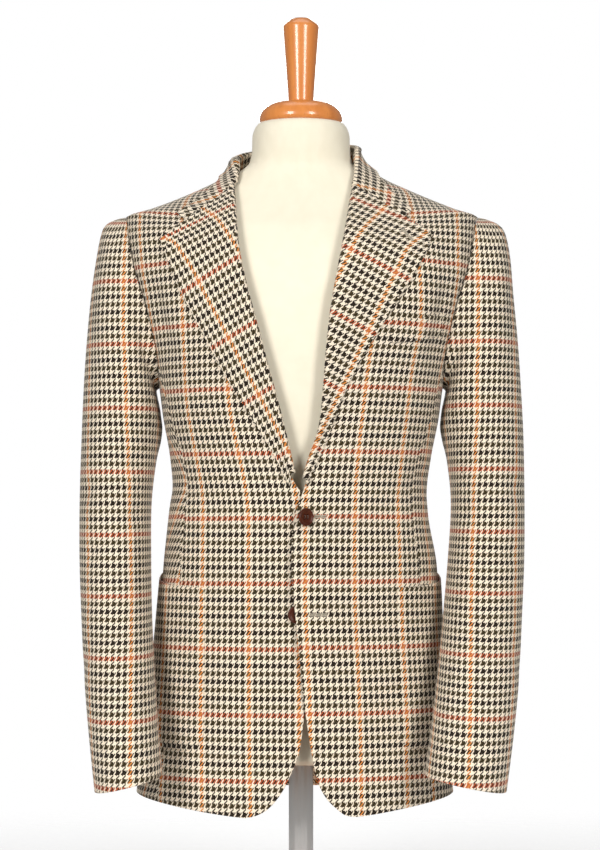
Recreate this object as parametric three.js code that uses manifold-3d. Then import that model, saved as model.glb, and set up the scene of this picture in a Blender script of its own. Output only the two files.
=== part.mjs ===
// Unstructured blazer, buttoned once, on a limbless dress form with a wooden neck cap.
// Millimetres, +Z up, the coat faces -Y. Left and right are the wearer's: the left front is on +X.
// The origin is the centre of the underside of the form's round base.

import * as THREE from 'three';
import Module from 'manifold-3d';

const wasm = await Module();
wasm.setup();

// Driving dimensions of the cloth.
const BODY_CLOTH = 2.0;
const SLEEVE_CLOTH = 1.7;
const SEAM_GAP = 0.4;
const LAY_GAP = 0.9;
const COLLAR_LAY_GAP = 2.0;
const HEM_Z = 119;
const HEM_RISE = { front: 20, back: 14, backSide: 6, fadeZ: 250 };
const WAIST_Z = 487;
const SHOULDER_Z = 797;
const NECKLINE_Z = 857;
const NECK_EDGE = { left: 70, right: -78 };
const OVERLAP_FADE = { from: 10, to: 85 };
const ARMHOLE_BOTTOM_Z = 600;
const ARMHOLE_FRONT = 58;
const ARMHOLE_BACK = 66;
const ARMHOLE_SQUARE = 2.3;
const ARMHOLE_STEPS = 24;
const FRONT_SEAM_STEP = 9;
const BACK_SEAM_STEP = 15;
const SIDE_DROP_Z = 520;
const FRONT_SLEEVE_STEP = 9;
const BACK_SLEEVE_STEP = 7;
const SLEEVE_SEAM_INSET = 0.02;
const ROLL_RADIUS = 3.6;
const ROLL_SETBACK = 5.0;
const FOLD_POINTS = 7;
const LEAF_STEPS = 4;
const GORGE_SHARE = 0.66;
const GORGE_RISE = 1.4;
const COLLAR_CORNER = { x: 8, z: 8.5 };
const PROBE = 0.5;

// Body sections, hem to neck: half width, sideways shift, depth in front and behind of mid, squareness.
const BODY = rows('z half shift front back mid square', [
  [100, 184, -7, 119, 113, 0, 2.3],
  [139, 181, -7, 118, 113, 0, 2.3],
  [200, 173, -5, 118, 114, 0, 2.3],
  [300, 162, -3, 115, 112, 0, 2.3],
  [394, 157, -1, 110, 108, 0, 2.3],
  [454, 149, -3, 106, 102, 0, 2.3],
  [487, 146.5, -1.5, 106, 99, 0, 2.3],
  [520, 150, -0.5, 109, 100, 0, 2.3],
  [566, 158.5, 0, 116, 105, 0, 2.35],
  [600, 163, 0, 121, 110, 0, 2.4],
  [636, 170, 0, 124, 116, 0, 2.5],
  [662, 177, 0, 125, 120, 0, 2.6],
  [700, 187, 0, 122, 122, 0, 2.8],
  [737, 197, 0, 115, 120, 2, 3.0],
  [770, 202, 0, 101, 112, 5, 3.0],
  [797, 203.5, 1, 80, 97, 8, 2.6],
  [806, 179, 2, 73, 90, 9, 2.4],
  [817.5, 150, 3, 66, 83, 10, 2.3],
  [829, 124, 3, 59, 76, 11, 2.2],
  [840.5, 100, 2, 52, 70, 12, 2.2],
  [850, 86, 0, 47, 65, 13, 2.2],
  [857, 79, -2, 44, 63, 14, 2.2],
  [865, 73, -4, 42, 62, 14, 2.1],
  [876, 68, -5, 40, 61, 14, 2.1],
  [900, 66, -5, 40, 61, 14, 2.1],
]);

// Front edge of the left front, which lies on top, from the hem up to the start of the roll line.
const LEFT_FRONT_EDGE = rows('z x', [
  [119, 62],
  [121.5, 50],
  [129, 40],
  [143, 27],
  [160, 18.5],
  [207, 8.8],
  [268, 1],
  [325, -4.4],
  [360, -8],
  [408, -10.5],
  [450, -7],
  [476, 1],
]);

// How far the left front's edge stands off the body's surface, over the right front.
const LEFT_LIFT = rows('z lift', [
  [143, 2.5],
  [160, 3],
  [207, 4],
  [268, 5.5],
  [325, 9.5],
  [360, 10],
  [408, 8],
  [450, 6.5],
  [476, 6],
  [500, 4],
  [550, 0],
]);

// Front edge of the right front, which runs on under the left one.
const RIGHT_FRONT_EDGE = rows('z x', [
  [119, -62],
  [121.5, -52],
  [129, -38],
  [143, -25],
  [160, -15],
  [197, -1],
  [227, 3],
  [268, 9],
  [325, 13],
  [450, 13],
  [468, 10],
  [484, -4],
]);

// Lapels: a row joins a point of the roll line to a point of the outer edge, button to gorge.
const LEFT_LAPEL = rows('rollX rollZ edgeX edgeZ', [
  [2, 494, 6, 484],
  [9, 518, 17, 511],
  [20, 551, 32, 546],
  [24.5, 590, 48, 590],
  [28, 635, 71, 633],
  [33, 680, 97, 676],
  [41, 725, 122, 716],
  [49, 768, 139, 746],
  [58, 824, 146, 768],
]);
const RIGHT_LAPEL = rows('rollX rollZ edgeX edgeZ', [
  [-7, 500, -13, 485],
  [-13, 527, -29, 518],
  [-24, 572, -55, 562],
  [-36, 616, -83, 607],
  [-48, 662, -108, 654],
  [-60, 706, -131, 698],
  [-69, 748, -147, 734],
  [-73, 786, -153, 749],
  [-75.5, 822, -157.5, 762],
]);

// Collar, above the gorge to centre back: neck seam, crest and outer edge, before sway and lean.
const COLLAR = rows('seamX seamZ crestX crestZ edgeX edgeZ face sway lean', [
  [70, 838, 66, 839, 113, 810, -1, -6, 0.03],
  [70, 849, 66, 851, 96, 831, -1, -5, 0.05],
  [71, 859.5, 66, 867, 87, 847, -1, -5, 0.07],
  [76, 859.5, 68, 876, 88, 848, 1, -5, 0.08],
  [62, 859.5, 58, 884, 72, 848, 1, -5, 0.08],
  [34, 859.5, 32, 889, 38, 846, 1, -5, 0.07],
  [0, 859.5, 0, 890, 0, 845, 1, -5, 0],
]);

// Sleeve rings after the armhole: outer and inner points, depth, and how far the front hangs lower.
const SLEEVE = rows('outerRight outerLeft outerZ innerRight innerLeft innerZ midY depth drop square', [
  [212.5, 214, 794, 167, 167, 597, 4, 65, 0, 2.2],
  [224.5, 228, 788, 166.5, 166.5, 592, 4, 68, 0, 2.2],
  [230.5, 236, 777, 165, 165, 585, 4, 69.5, 0, 2.2],
  [236, 241.5, 750, 163, 163, 577, 3, 69.5, 0, 2.2],
  [242, 245, 706, 161.5, 161.5, 567, 2, 68.5, 0, 2.2],
  [246.5, 249.5, 656, 160, 160.5, 554, 1, 67, 0, 2.2],
  [249.5, 252.5, 606, 161.5, 163, 538, -2, 65.5, 0, 2.2],
  [251.5, 255, 545, 166.5, 168, 514, -7, 63.5, 0, 2.2],
  [252.5, 255, 474, 171, 171.5, 467, -18, 61.5, 0, 2.2],
  [250.5, 252.5, 404, 170, 166.5, 404, -40, 58.5, 0, 2.2],
  [245.5, 247, 336, 167, 159, 339, -68, 56, 0, 2.2],
  [239.5, 241, 270, 162, 151, 278, -96, 54, 0.5, 2.2],
  [232.5, 233, 211, 157, 143.5, 225, -118, 52, 1, 2.2],
  [225, 224, 152, 151, 135, 170, -132, 51, 1, 2.2],
]);

// Largest folds of the body: from one point of a panel to another, on both sides.
const BODY_FOLDS = rows('x1 z1 x2 z2 face width depth', [
  [164, 752, 150, 640, -1, 13, 2.6],
  [172, 760, 157, 630, 1, 17, 2.4],
  [92, 462, 140, 498, -1, 16, 1.6],
  [86, 430, 136, 470, 1, 18, 2.4],
  [118, 300, 132, 150, 1, 24, 3.0],
]);

// Largest folds of a sleeve: ring numbers and angles from the outer side towards the front.
const SLEEVE_FOLDS = rows('ring1 angle1 ring2 angle2 width depth', [
  [1.6, 40, 3.6, 75, 13, 2.2],
  [1.8, -45, 4.2, -80, 15, 2.8],
  [8.2, 120, 8.9, 45, 12, 2.6],
  [9.2, 130, 9.9, 60, 11, 2.0],
  [8.6, -40, 8.1, -120, 13, 1.8],
  [11.1, 95, 11.7, 20, 12, 1.6],
]);

// Side seams of the fronts and backs, from the hem to the waist.
const SIDE_SEAMS = rows('z front back', [
  [119, -72, 62],
  [300, -68, 60],
  [487, -60, 52],
]);

// Patch pockets of the hip: the belly is a swell between two shares of the height.
const HIP_POCKET = {
  frontX: 107,
  backAngle: 0.36,
  width: 170,
  topZ: 373,
  bottomZ: 188,
  mouthRise: 24,
  corner: 26,
  belly: 3,
  bellyAcross: 1.15,
  bellyLow: 0.25,
  bellySpan: 0.62,
};
const POCKET_CLOTH = 1.8;

// Breast welt: its top edge, and its height.
const WELT = rows('x top', [[99, 669], [118, 671], [139, 674.5], [159, 681]]);
const WELT_HEIGHT = 25;

// Buttons: a profile of radius and height, four holes, and a shank of thread below each.
const BUTTON_PROFILE = [[0, 0], [8.8, 0], [10, 1.2], [10, 2.8], [9.2, 3.6], [7.9, 3.6], [7.1, 2.7], [0, 2.7]];
const BUTTON_HOLE = { radius: 1.1, spread: 2.6, length: 11 };
const SHANK = { radius: 2.2, foot: 0.6, into: 0.8 };
const UPPER_BUTTON = { x: 4.4, z: 451, turn: 38, stand: 7.2 };
const LOWER_BUTTON = { x: -4.6, z: 343.5, turn: 0, stand: 2.4 };

// Dress form: sections of the torso and neck, then the turned pieces as profiles of radius and height.
const FORM = rows('z half shift front back mid square', [
  [176, 136, 0, 92, 90, 0, 2.3],
  [182, 141, 0, 96, 94, 0, 2.3],
  [260, 146, 0, 97, 98, 0, 2.3],
  [330, 141, 0, 93, 94, 0, 2.3],
  [400, 134, 0, 88, 87, 0, 2.3],
  [480, 127, 0, 87, 82, 0, 2.3],
  [540, 136, 0, 96, 88, 0, 2.3],
  [600, 148, 0, 105, 96, 0, 2.4],
  [660, 158, 0, 110, 106, 0, 2.5],
  [710, 172, 0, 107, 110, 0, 2.6],
  [750, 184, 0, 98, 107, 3, 2.7],
  [780, 191, 0, 84, 98, 6, 2.7],
  [795.2, 192, 1, 74, 90, 8, 2.5],
  [804.6, 175, 1.8, 68, 85, 9, 2.3],
  [816.1, 146, 2.8, 61, 78, 10, 2.2],
  [827.5, 118, 3, 55, 72, 11, 2.2],
  [838.6, 95, 2.2, 51, 65, 12, 2.1],
  [847.1, 80, 0.6, 49, 61, 13, 2.1],
  [854, 69, 0, 48, 58, 13, 2.05],
  [862, 60, 0, 49, 56, 12, 2],
  [875, 57, 0, 51, 55, 10, 2],
  [892, 56.5, 0, 52, 54, 8, 2],
  [902, 53.5, 0, 50, 51, 7, 2],
  [907, 49.5, 0, 46.5, 47, 6.5, 2],
]);
const NECK_MID_Y = 6.5;
const CAP_PROFILE = [[0, 0], [46, 0], [48.3, 2.5], [48.5, 7], [46, 14], [40, 20], [31, 23.4], [0, 23.4]];
const HANDLE_PROFILE = [[0, 0], [15.5, 0], [14.6, 2], [14.8, 6], [21, 89], [20.4, 91.5], [11.5, 98.6],
  [0, 99.4]];
const BASE_PROFILE = [[0, 0], [142, 0], [145, 3], [145, 12], [141, 17], [90, 20], [30, 23], [0, 23]];
const STEM_RADIUS = 14;
const REST_GAP = 0.3;

// Named rows from a header line and plain lists.
function rows(header, table) {
  const names = header.split(' ');
  return table.map((line) => Object.fromEntries(names.map((name, i) => [name, line[i]])));
}

// A smooth value of one column at a height, with no overshoot between the rows.
function track(table, key, column) {
  const at = table.map((row) => row[key]);
  const value = table.map((row) => row[column]);
  const last = at.length - 1;
  const slope = at.slice(1).map((a, i) => (value[i + 1] - value[i]) / (a - at[i]));
  const tangent = at.map((a, i) => {
    if (i === 0) return slope[0];
    if (i === last) return slope[last - 1];
    const product = slope[i - 1] * slope[i];
    return product <= 0 ? 0 : (2 * product) / (slope[i - 1] + slope[i]);
  });
  return (x) => {
    if (x <= at[0]) return value[0];
    if (x >= at[last]) return value[last];
    const i = at.findIndex((a) => a > x) - 1;
    const width = at[i + 1] - at[i];
    const t = (x - at[i]) / width;
    const bend = (1 - t) * (1 - t);
    return value[i] * (1 + 2 * t) * bend + tangent[i] * width * t * bend
      + value[i + 1] * t * t * (3 - 2 * t) + tangent[i + 1] * width * t * t * (t - 1);
  };
}

function sectionOf(table) {
  const columns = Object.keys(table[0]).filter((name) => name !== 'z');
  const tracks = columns.map((name) => track(table, 'z', name));
  return (z) => Object.fromEntries(columns.map((name, i) => [name, tracks[i](z)]));
}

const bodySection = sectionOf(BODY);

// A front's inner edge: the front edge below the button, then a set distance behind the roll line.
function frontEdge(lower, lapelRows, side, neckX) {
  const upper = lapelRows.map((row) => ({ z: row.rollZ, x: row.rollX + side * ROLL_SETBACK }));
  return track([...lower, ...upper, { z: NECKLINE_Z, x: neckX }], 'z', 'x');
}

const leftEdgeX = frontEdge(LEFT_FRONT_EDGE, LEFT_LAPEL, 1, NECK_EDGE.left);
const rightEdgeX = frontEdge(RIGHT_FRONT_EDGE, RIGHT_LAPEL, -1, NECK_EDGE.right);
const leftLift = track(LEFT_LIFT, 'z', 'lift');
const clamp = THREE.MathUtils.clamp;
const lerp = THREE.MathUtils.lerp;
const smooth = (x, low, high) => THREE.MathUtils.smoothstep(x, low, high);
const vector = (x, y, z) => new THREE.Vector3(x, y, z);

// How far a point is inside (under 1) or outside (over 1) the body's section at its height.
function fullness(p) {
  const s = bodySection(p.z);
  const depth = p.y < s.mid ? s.front : s.back;
  const across = Math.abs((p.x - s.shift) / s.half) ** s.square;
  const along = Math.abs((p.y - s.mid) / depth) ** s.square;
  return (across + along) ** (1 / s.square);
}

// The way out of the body's surface at a point.
function outward(p) {
  const slope = (dx, dy, dz) => fullness(vector(p.x + dx, p.y + dy, p.z + dz))
    - fullness(vector(p.x - dx, p.y - dy, p.z - dz));
  return vector(slope(PROBE, 0, 0), slope(0, PROBE, 0), slope(0, 0, PROBE)).normalize();
}

// A point of the bare body surface at an angle from +X, at a level that the hem's rise bends upwards.
function bodyPoint(angle, level) {
  const c = Math.cos(angle);
  const d = Math.sin(angle);
  const sideways = Math.abs(c) ** 3;
  const rise = d < 0 ? HEM_RISE.front * sideways : HEM_RISE.back + HEM_RISE.backSide * sideways;
  const z = level + rise * clamp((HEM_RISE.fadeZ - level) / (HEM_RISE.fadeZ - HEM_Z), 0, 1);
  const s = bodySection(z);
  const depth = d < 0 ? s.front : s.back;
  const radius = (Math.abs(c / s.half) ** s.square + Math.abs(d / depth) ** s.square) ** (-1 / s.square);
  return vector(s.shift + radius * c, s.mid + radius * d, z);
}

// A point of the body surface under or behind a place of the front or back view.
function facePoint(x, z, face) {
  const s = bodySection(z);
  const q = clamp(Math.abs(x - s.shift) / s.half, 0, 1);
  const depth = face < 0 ? s.front : s.back;
  const y = s.mid + face * depth * (1 - q ** s.square) ** (1 / s.square);
  return vector(s.shift + Math.sign(x - s.shift) * q * s.half, y, z);
}

function angleAtX(x, z, face) {
  const s = bodySection(z);
  const p = facePoint(x, z, face);
  return Math.atan2(p.y - s.mid, p.x - s.shift);
}

function angleAtY(y, z, side) {
  const s = bodySection(z);
  const depth = y < s.mid ? s.front : s.back;
  const q = clamp(Math.abs(y - s.mid) / depth, 0, 1);
  const x = s.half * (1 - q ** s.square) ** (1 / s.square);
  const angle = Math.atan2(y - s.mid, x);
  return side > 0 ? angle : Math.PI - angle;
}

// Soft troughs: each takes its depth off along a line, fading to its ends.
function foldDepth(p, folds) {
  return folds.reduce((sum, fold) => {
    const along = fold.line.closestPointToPointParameter(p, true);
    const away = fold.line.at(along, vector(0, 0, 0)).distanceTo(p);
    return sum + fold.depth * Math.exp(-((away / fold.width) ** 2));
  }, 0);
}

const bodyFolds = BODY_FOLDS.flatMap((f) => [1, -1].map((side) => ({
  line: new THREE.Line3(facePoint(side * f.x1, f.z1, f.face), facePoint(side * f.x2, f.z2, f.face)),
  width: f.width,
  depth: f.depth,
})));

function bodyLayer(angle, level, height) {
  const p = bodyPoint(angle, level);
  return p.clone().addScaledVector(outward(p), height - foldDepth(p, bodyFolds));
}

// A closed wall from matching grids of outer and inner points, faces turned out.
function wall(outer, inner) {
  const down = outer.length;
  const across = outer[0].length;
  const position = [...outer.flat(), ...inner.flat()].flatMap((p) => [p.x, p.y, p.z]);
  const id = (layer, i, j) => layer * down * across + i * across + j;
  const index = [];
  const quad = (a, b, c, d) => index.push(a, b, c, a, c, d);
  for (let i = 0; i < down - 1; i += 1) {
    for (let j = 0; j < across - 1; j += 1) {
      quad(id(0, i, j), id(0, i, j + 1), id(0, i + 1, j + 1), id(0, i + 1, j));
      quad(id(1, i, j), id(1, i + 1, j), id(1, i + 1, j + 1), id(1, i, j + 1));
    }
    quad(id(0, i, 0), id(0, i + 1, 0), id(1, i + 1, 0), id(1, i, 0));
    quad(id(0, i + 1, across - 1), id(0, i, across - 1), id(1, i, across - 1), id(1, i + 1, across - 1));
  }
  for (let j = 0; j < across - 1; j += 1) {
    quad(id(0, 0, j + 1), id(0, 0, j), id(1, 0, j), id(1, 0, j + 1));
    quad(id(0, down - 1, j), id(0, down - 1, j + 1), id(1, down - 1, j + 1), id(1, down - 1, j));
  }
  return closed(position, index);
}

function closed(position, index) {
  const geometry = new THREE.BufferGeometry();
  geometry.setAttribute('position', new THREE.Float32BufferAttribute(position, 3));
  const volume = signedVolume(position, index);
  geometry.setIndex(volume > 0 ? index : index.map((v, i) => index[i - (i % 3) + [0, 2, 1][i % 3]]));
  return geometry;
}

function signedVolume(position, index) {
  let volume = 0;
  for (let i = 0; i < index.length; i += 3) {
    const [a, b, c] = [0, 1, 2].map((k) => vector(...position.slice(index[i + k] * 3, index[i + k] * 3 + 3)));
    volume += a.dot(b.cross(c));
  }
  return volume;
}

// Armhole: a loop on the body's side, from the shoulder point over the front to the underarm.
function armholePlace(step) {
  const turn = (step / ARMHOLE_STEPS) * 2 * Math.PI;
  const power = 2 / ARMHOLE_SQUARE;
  const halfHeight = (SHOULDER_Z - ARMHOLE_BOTTOM_Z) / 2;
  const height = Math.sign(Math.cos(turn)) * Math.abs(Math.cos(turn)) ** power;
  const z = ARMHOLE_BOTTOM_Z + halfHeight * (1 + height);
  const reach = Math.abs(Math.sin(turn)) ** power;
  const y = Math.sin(turn) > 0 ? -ARMHOLE_FRONT * reach : ARMHOLE_BACK * reach;
  return { y: y + bodySection(z).mid, z };
}

// The side seams of front and back end where two steps of the armhole lie.
const seamTop = { z: armholePlace(FRONT_SEAM_STEP).z };
seamTop.front = armholePlace(FRONT_SEAM_STEP).y;
seamTop.back = armholePlace(BACK_SEAM_STEP).y;
const frontSeamY = track([...SIDE_SEAMS, seamTop], 'z', 'front');
const backSeamY = track([...SIDE_SEAMS, seamTop], 'z', 'back');

// Levels of the body rows: skirt and waist, then the armhole's own steps, then the shoulder slope.
const LOW_LEVELS = [HEM_Z, 121.5, 129, 143, 160, 190, 230, 275, 325, 375, 420, 455, 478, 498, 523, 551, 579,
  604];
const armholeLevels = Array.from(
  { length: FRONT_SEAM_STEP + 1 },
  (_, i) => armholePlace(FRONT_SEAM_STEP - i).z,
);
const HIGH_LEVELS = [802, 811, 822, 833, 842, 850, NECKLINE_Z - SEAM_GAP];
const LEVELS = [...LOW_LEVELS, ...armholeLevels, ...HIGH_LEVELS];

// Outer boundary of a front or back panel: side seam, armhole, shoulder seam.
function outerAngle(i, side, face) {
  const z = LEVELS[i];
  const halfGap = (face * SEAM_GAP) / 2;
  const step = FRONT_SEAM_STEP - (i - LOW_LEVELS.length);
  if (step <= 0) return angleAtY(bodySection(z).mid + halfGap, z, side);
  if (step < FRONT_SEAM_STEP) {
    return angleAtY(armholePlace(face < 0 ? step : ARMHOLE_STEPS - step).y, z, side);
  }
  return angleAtY((face < 0 ? frontSeamY : backSeamY)(z) + halfGap, z, side);
}

// A panel of the body between two boundaries, all its levels from hem to neck.
function panel(across, edgeAngle, innerAngle, lift) {
  const grid = (height) => LEVELS.map((z, i) => Array.from({ length: across + 1 }, (_, j) => {
    const angle = lerp(edgeAngle(i), innerAngle(z), j / across);
    return bodyLayer(angle, z, height + lift(bodyPoint(angle, z)));
  }));
  return wall(grid(0), grid(-BODY_CLOTH));
}

// The left front stands off the right one where the two lie on each other.
function overlapLift(p) {
  return leftLift(p.z) * (1 - smooth(p.x - leftEdgeX(p.z), OVERLAP_FADE.from, OVERLAP_FADE.to));
}

// Half of the front. The angles of the right one run on past half a turn without a jump.
function front(side) {
  const edgeX = side > 0 ? leftEdgeX : rightEdgeX;
  const unwrap = (angle) => (side < 0 && angle > 0 ? angle - 2 * Math.PI : angle);
  return panel(
    8,
    (i) => unwrap(outerAngle(i, side, -1)),
    (z) => unwrap(angleAtX(edgeX(z), z, -1)),
    side > 0 ? overlapLift : () => 0,
  );
}

function back(side) {
  const middle = (z) => angleAtX(bodySection(z).shift + side * SEAM_GAP / 2, z, 1);
  return panel(6, (i) => outerAngle(i, side, 1), middle, () => 0);
}

// Side body: its top edge is the lowest stretch of the armhole.
function sideBody(side) {
  const across = BACK_SEAM_STEP - FRONT_SEAM_STEP;
  const seamZ = armholePlace(FRONT_SEAM_STEP).z;
  const levels = LEVELS.slice(0, LOW_LEVELS.length + 1);
  const grid = (height) => levels.map((level, i) => Array.from({ length: across + 1 }, (_, j) => {
    const top = armholePlace(FRONT_SEAM_STEP + j);
    const seams = [frontSeamY(level) + SEAM_GAP / 2, backSeamY(level) - SEAM_GAP / 2];
    const near = smooth(level, WAIST_Z, seamZ);
    const fraction = j / across;
    const share = (top.y - armholePlace(FRONT_SEAM_STEP).y)
      / (armholePlace(BACK_SEAM_STEP).y - armholePlace(FRONT_SEAM_STEP).y);
    const y = lerp(seams[0], seams[1], lerp(fraction, share, near));
    const drop = (seamZ - top.z) * smooth(level, SIDE_DROP_Z, seamZ);
    const angle = angleAtY(y, level - drop, side);
    return bodyLayer(side < 0 && angle < 0 ? angle + 2 * Math.PI : angle, level - drop, height);
  }));
  return wall(grid(0), grid(-BODY_CLOTH));
}

// Sleeve: a spline through the armhole loop and the rings of the table, for each angle round the arm.
function sleeveSpline(side, step) {
  const place = armholePlace(step);
  const middleZ = (SHOULDER_Z + ARMHOLE_BOTTOM_Z) / 2;
  const middleY = bodySection(middleZ).mid;
  const toMiddle = vector(0, middleY - place.y, middleZ - place.z).normalize();
  const p = bodyPoint(angleAtY(place.y, place.z, side), place.z);
  const start = p.addScaledVector(outward(p), REST_GAP).addScaledVector(toMiddle, SEAM_GAP);
  const turn = (step / ARMHOLE_STEPS) * 2 * Math.PI;
  const rings = SLEEVE.map((ring) => {
    const c = Math.sign(Math.cos(turn)) * Math.abs(Math.cos(turn)) ** (2 / ring.square);
    const d = Math.sign(Math.sin(turn)) * Math.abs(Math.sin(turn)) ** (2 / ring.square);
    const innerX = side > 0 ? ring.innerLeft : ring.innerRight;
    const outerX = side > 0 ? ring.outerLeft : ring.outerRight;
    const x = lerp(innerX, outerX, (1 + c) / 2);
    const z = lerp(ring.innerZ, ring.outerZ, (1 + c) / 2) - ring.drop * d;
    return vector(side * x, ring.midY - ring.depth * d, z);
  });
  return new THREE.CatmullRomCurve3([start, ...rings], false, 'catmullrom', 0.5);
}

function sleevePoint(side, step, ring) {
  return sleeveSpline(side, step).getPoint(clamp(ring / SLEEVE.length, 0, 1));
}

function sleeveLayer(side, step, ring, height, folds) {
  const ahead = sleevePoint(side, step, Math.min(ring + 0.2, SLEEVE.length));
  const behind = sleevePoint(side, step, Math.max(ring - 0.2, 0));
  const round = sleevePoint(side, step + 0.4, ring).sub(sleevePoint(side, step - 0.4, ring));
  const normal = round.cross(ahead.sub(behind)).normalize().multiplyScalar(side);
  const p = sleevePoint(side, step, ring);
  return p.addScaledVector(normal, height - foldDepth(p, folds));
}

// Rings of a sleeve's wall, closer together where it bends or turns over the shoulder.
const SLEEVE_RINGS = [0, 0.5, 1, 1.6, 2.3, 3.2, 4.2, 5.2, 6, 7, 8, 8.6, 9.2, 10, 11, 12, 13, 14];

function sleeve(side, firstStep, lastStep) {
  const at = (ring, degrees) => sleevePoint(side, (degrees / 360) * ARMHOLE_STEPS, ring);
  const folds = SLEEVE_FOLDS.map((f) => ({
    line: new THREE.Line3(at(f.ring1, f.angle1), at(f.ring2, f.angle2)),
    width: f.width,
    depth: f.depth,
  }));
  const steps = Array.from({ length: lastStep - firstStep + 1 }, (_, j) => firstStep + j);
  steps[0] += SLEEVE_SEAM_INSET;
  steps[steps.length - 1] -= SLEEVE_SEAM_INSET;
  const grid = (height) => SLEEVE_RINGS.map(
    (ring) => steps.map((step) => sleeveLayer(side, step, ring, height, folds)),
  );
  return wall(grid(0), grid(-SLEEVE_CLOTH));
}

// Cloth folded back on itself: from a seam, round a roll, and out to an edge that lies on the body.
function foldedPath({ seam, crest, edge, face, lift }, across) {
  const raised = (p, height) => p.clone().addScaledVector(outward(p), height + lift(p));
  const seamPlace = facePoint(seam.x, seam.z, face);
  const crestPlace = facePoint(crest.x, crest.z, face);
  const normal = outward(crestPlace);
  const inward = seamPlace.clone().sub(crestPlace).normalize();
  const rollPlace = crestPlace.clone().addScaledVector(inward, ROLL_RADIUS);
  const base = raised(seamPlace, -BODY_CLOTH / 2);
  const start = raised(rollPlace, -BODY_CLOTH / 2);
  const centre = start.clone().addScaledVector(normal, ROLL_RADIUS);
  const path = [base, base.clone().lerp(start, 0.5)];
  for (let i = 0; i <= 4; i += 1) {
    const bend = (i / 4) * Math.PI;
    path.push(centre.clone().addScaledVector(normal, -ROLL_RADIUS * Math.cos(bend))
      .addScaledVector(inward, -ROLL_RADIUS * Math.sin(bend)));
  }
  const top = 2 * ROLL_RADIUS - BODY_CLOTH / 2;
  for (let j = 1; j <= across; j += 1) {
    const t = j / across;
    const p = facePoint(lerp(rollPlace.x, edge.x, t), lerp(rollPlace.z, edge.z, t), face);
    path.push(raised(p, lerp(LAY_GAP + BODY_CLOTH / 2, top, (1 - t) ** 1.6)));
  }
  return path;
}

// Moves a point out until it is at least this far from the body's surface.
function keepOff(p, height) {
  for (let i = 0; i < 3; i += 1) {
    const normal = outward(p);
    const ahead = p.clone().addScaledVector(normal, PROBE);
    const distance = ((fullness(p) - 1) * PROBE) / (fullness(ahead) - fullness(p));
    p.addScaledVector(normal, Math.max(0, height - distance));
  }
  return p;
}

// Stations of a folded piece, with a spline through the same point of each path.
function foldedWall(paths, perStation, clearance) {
  const count = (paths.length - 1) * perStation;
  const curves = paths[0].map(
    (_, j) => new THREE.CatmullRomCurve3(paths.map((path) => path[j]), false, 'catmullrom', 0.5),
  );
  const points = Array.from({ length: count + 1 }, (_, i) => curves.map((curve, j) => {
    const p = curve.getPoint(i / count);
    return j >= FOLD_POINTS ? keepOff(p, clearance + BODY_CLOTH / 2) : p;
  }));
  return sheet(points, BODY_CLOTH);
}

// A wall of even thickness on both sides of a grid of middle points.
function sheet(points, thickness) {
  const last = { i: points.length - 1, j: points[0].length - 1 };
  const normals = points.map((line, i) => line.map((_, j) => {
    const down = points[Math.min(i + 1, last.i)][j].clone().sub(points[Math.max(i - 1, 0)][j]);
    const along = line[Math.min(j + 1, last.j)].clone().sub(line[Math.max(j - 1, 0)]);
    return down.cross(along).normalize();
  }));
  const shifted = (amount) => points.map(
    (line, i) => line.map((p, j) => p.clone().addScaledVector(normals[i][j], amount)),
  );
  return wall(shifted(thickness / 2), shifted(-thickness / 2));
}

// Sections of a lapel, one for each row of its table.
function lapelPaths(table, side) {
  return table.map((row) => foldedPath({
    seam: { x: row.rollX + side * (ROLL_SETBACK - 2 * SEAM_GAP), z: row.rollZ },
    crest: { x: row.rollX, z: row.rollZ },
    edge: { x: row.edgeX, z: row.edgeZ },
    face: -1,
    lift: side > 0 ? overlapLift : () => 0,
  }, LEAF_STEPS));
}

// The collar's front end runs along the lapel's top edge to the notch, then out to its own corner.
function gorgeStations(top, side) {
  const notch = {
    x: lerp(top.rollX, top.edgeX, GORGE_SHARE),
    z: lerp(top.rollZ, top.edgeZ, GORGE_SHARE) + GORGE_RISE,
  };
  const station = (rise, edge) => foldedPath({
    seam: { x: top.rollX + side * (ROLL_SETBACK - 2 * SEAM_GAP), z: top.rollZ + GORGE_RISE + rise },
    crest: { x: top.rollX + side * rise * 0.1, z: top.rollZ + GORGE_RISE + rise },
    edge,
    face: -1,
    lift: () => 0,
  }, LEAF_STEPS);
  const corner = { x: notch.x + side * COLLAR_CORNER.x, z: notch.z + COLLAR_CORNER.z };
  return [station(0, notch), station(5, corner)];
}

// The collar in one piece, from the notch of one lapel round the neck to that of the other.
function collar() {
  const station = (row, side) => {
    const place = (x, z) => ({ x: side * x + row.sway, z: z + row.lean * side * x });
    return foldedPath({
      seam: { x: side * row.seamX + row.sway, z: row.seamZ },
      crest: place(row.crestX, row.crestZ),
      edge: place(row.edgeX, row.edgeZ),
      face: row.face,
      lift: () => 0,
    }, LEAF_STEPS);
  };
  const rightSide = COLLAR.map((row) => station(row, -1));
  const leftSide = COLLAR.slice(0, -1).reverse().map((row) => station(row, 1));
  return foldedWall([
    ...gorgeStations(RIGHT_LAPEL[RIGHT_LAPEL.length - 1], -1),
    ...rightSide,
    ...leftSide,
    ...gorgeStations(LEFT_LAPEL[LEFT_LAPEL.length - 1], 1).reverse(),
  ], 2, COLLAR_LAY_GAP);
}

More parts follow.
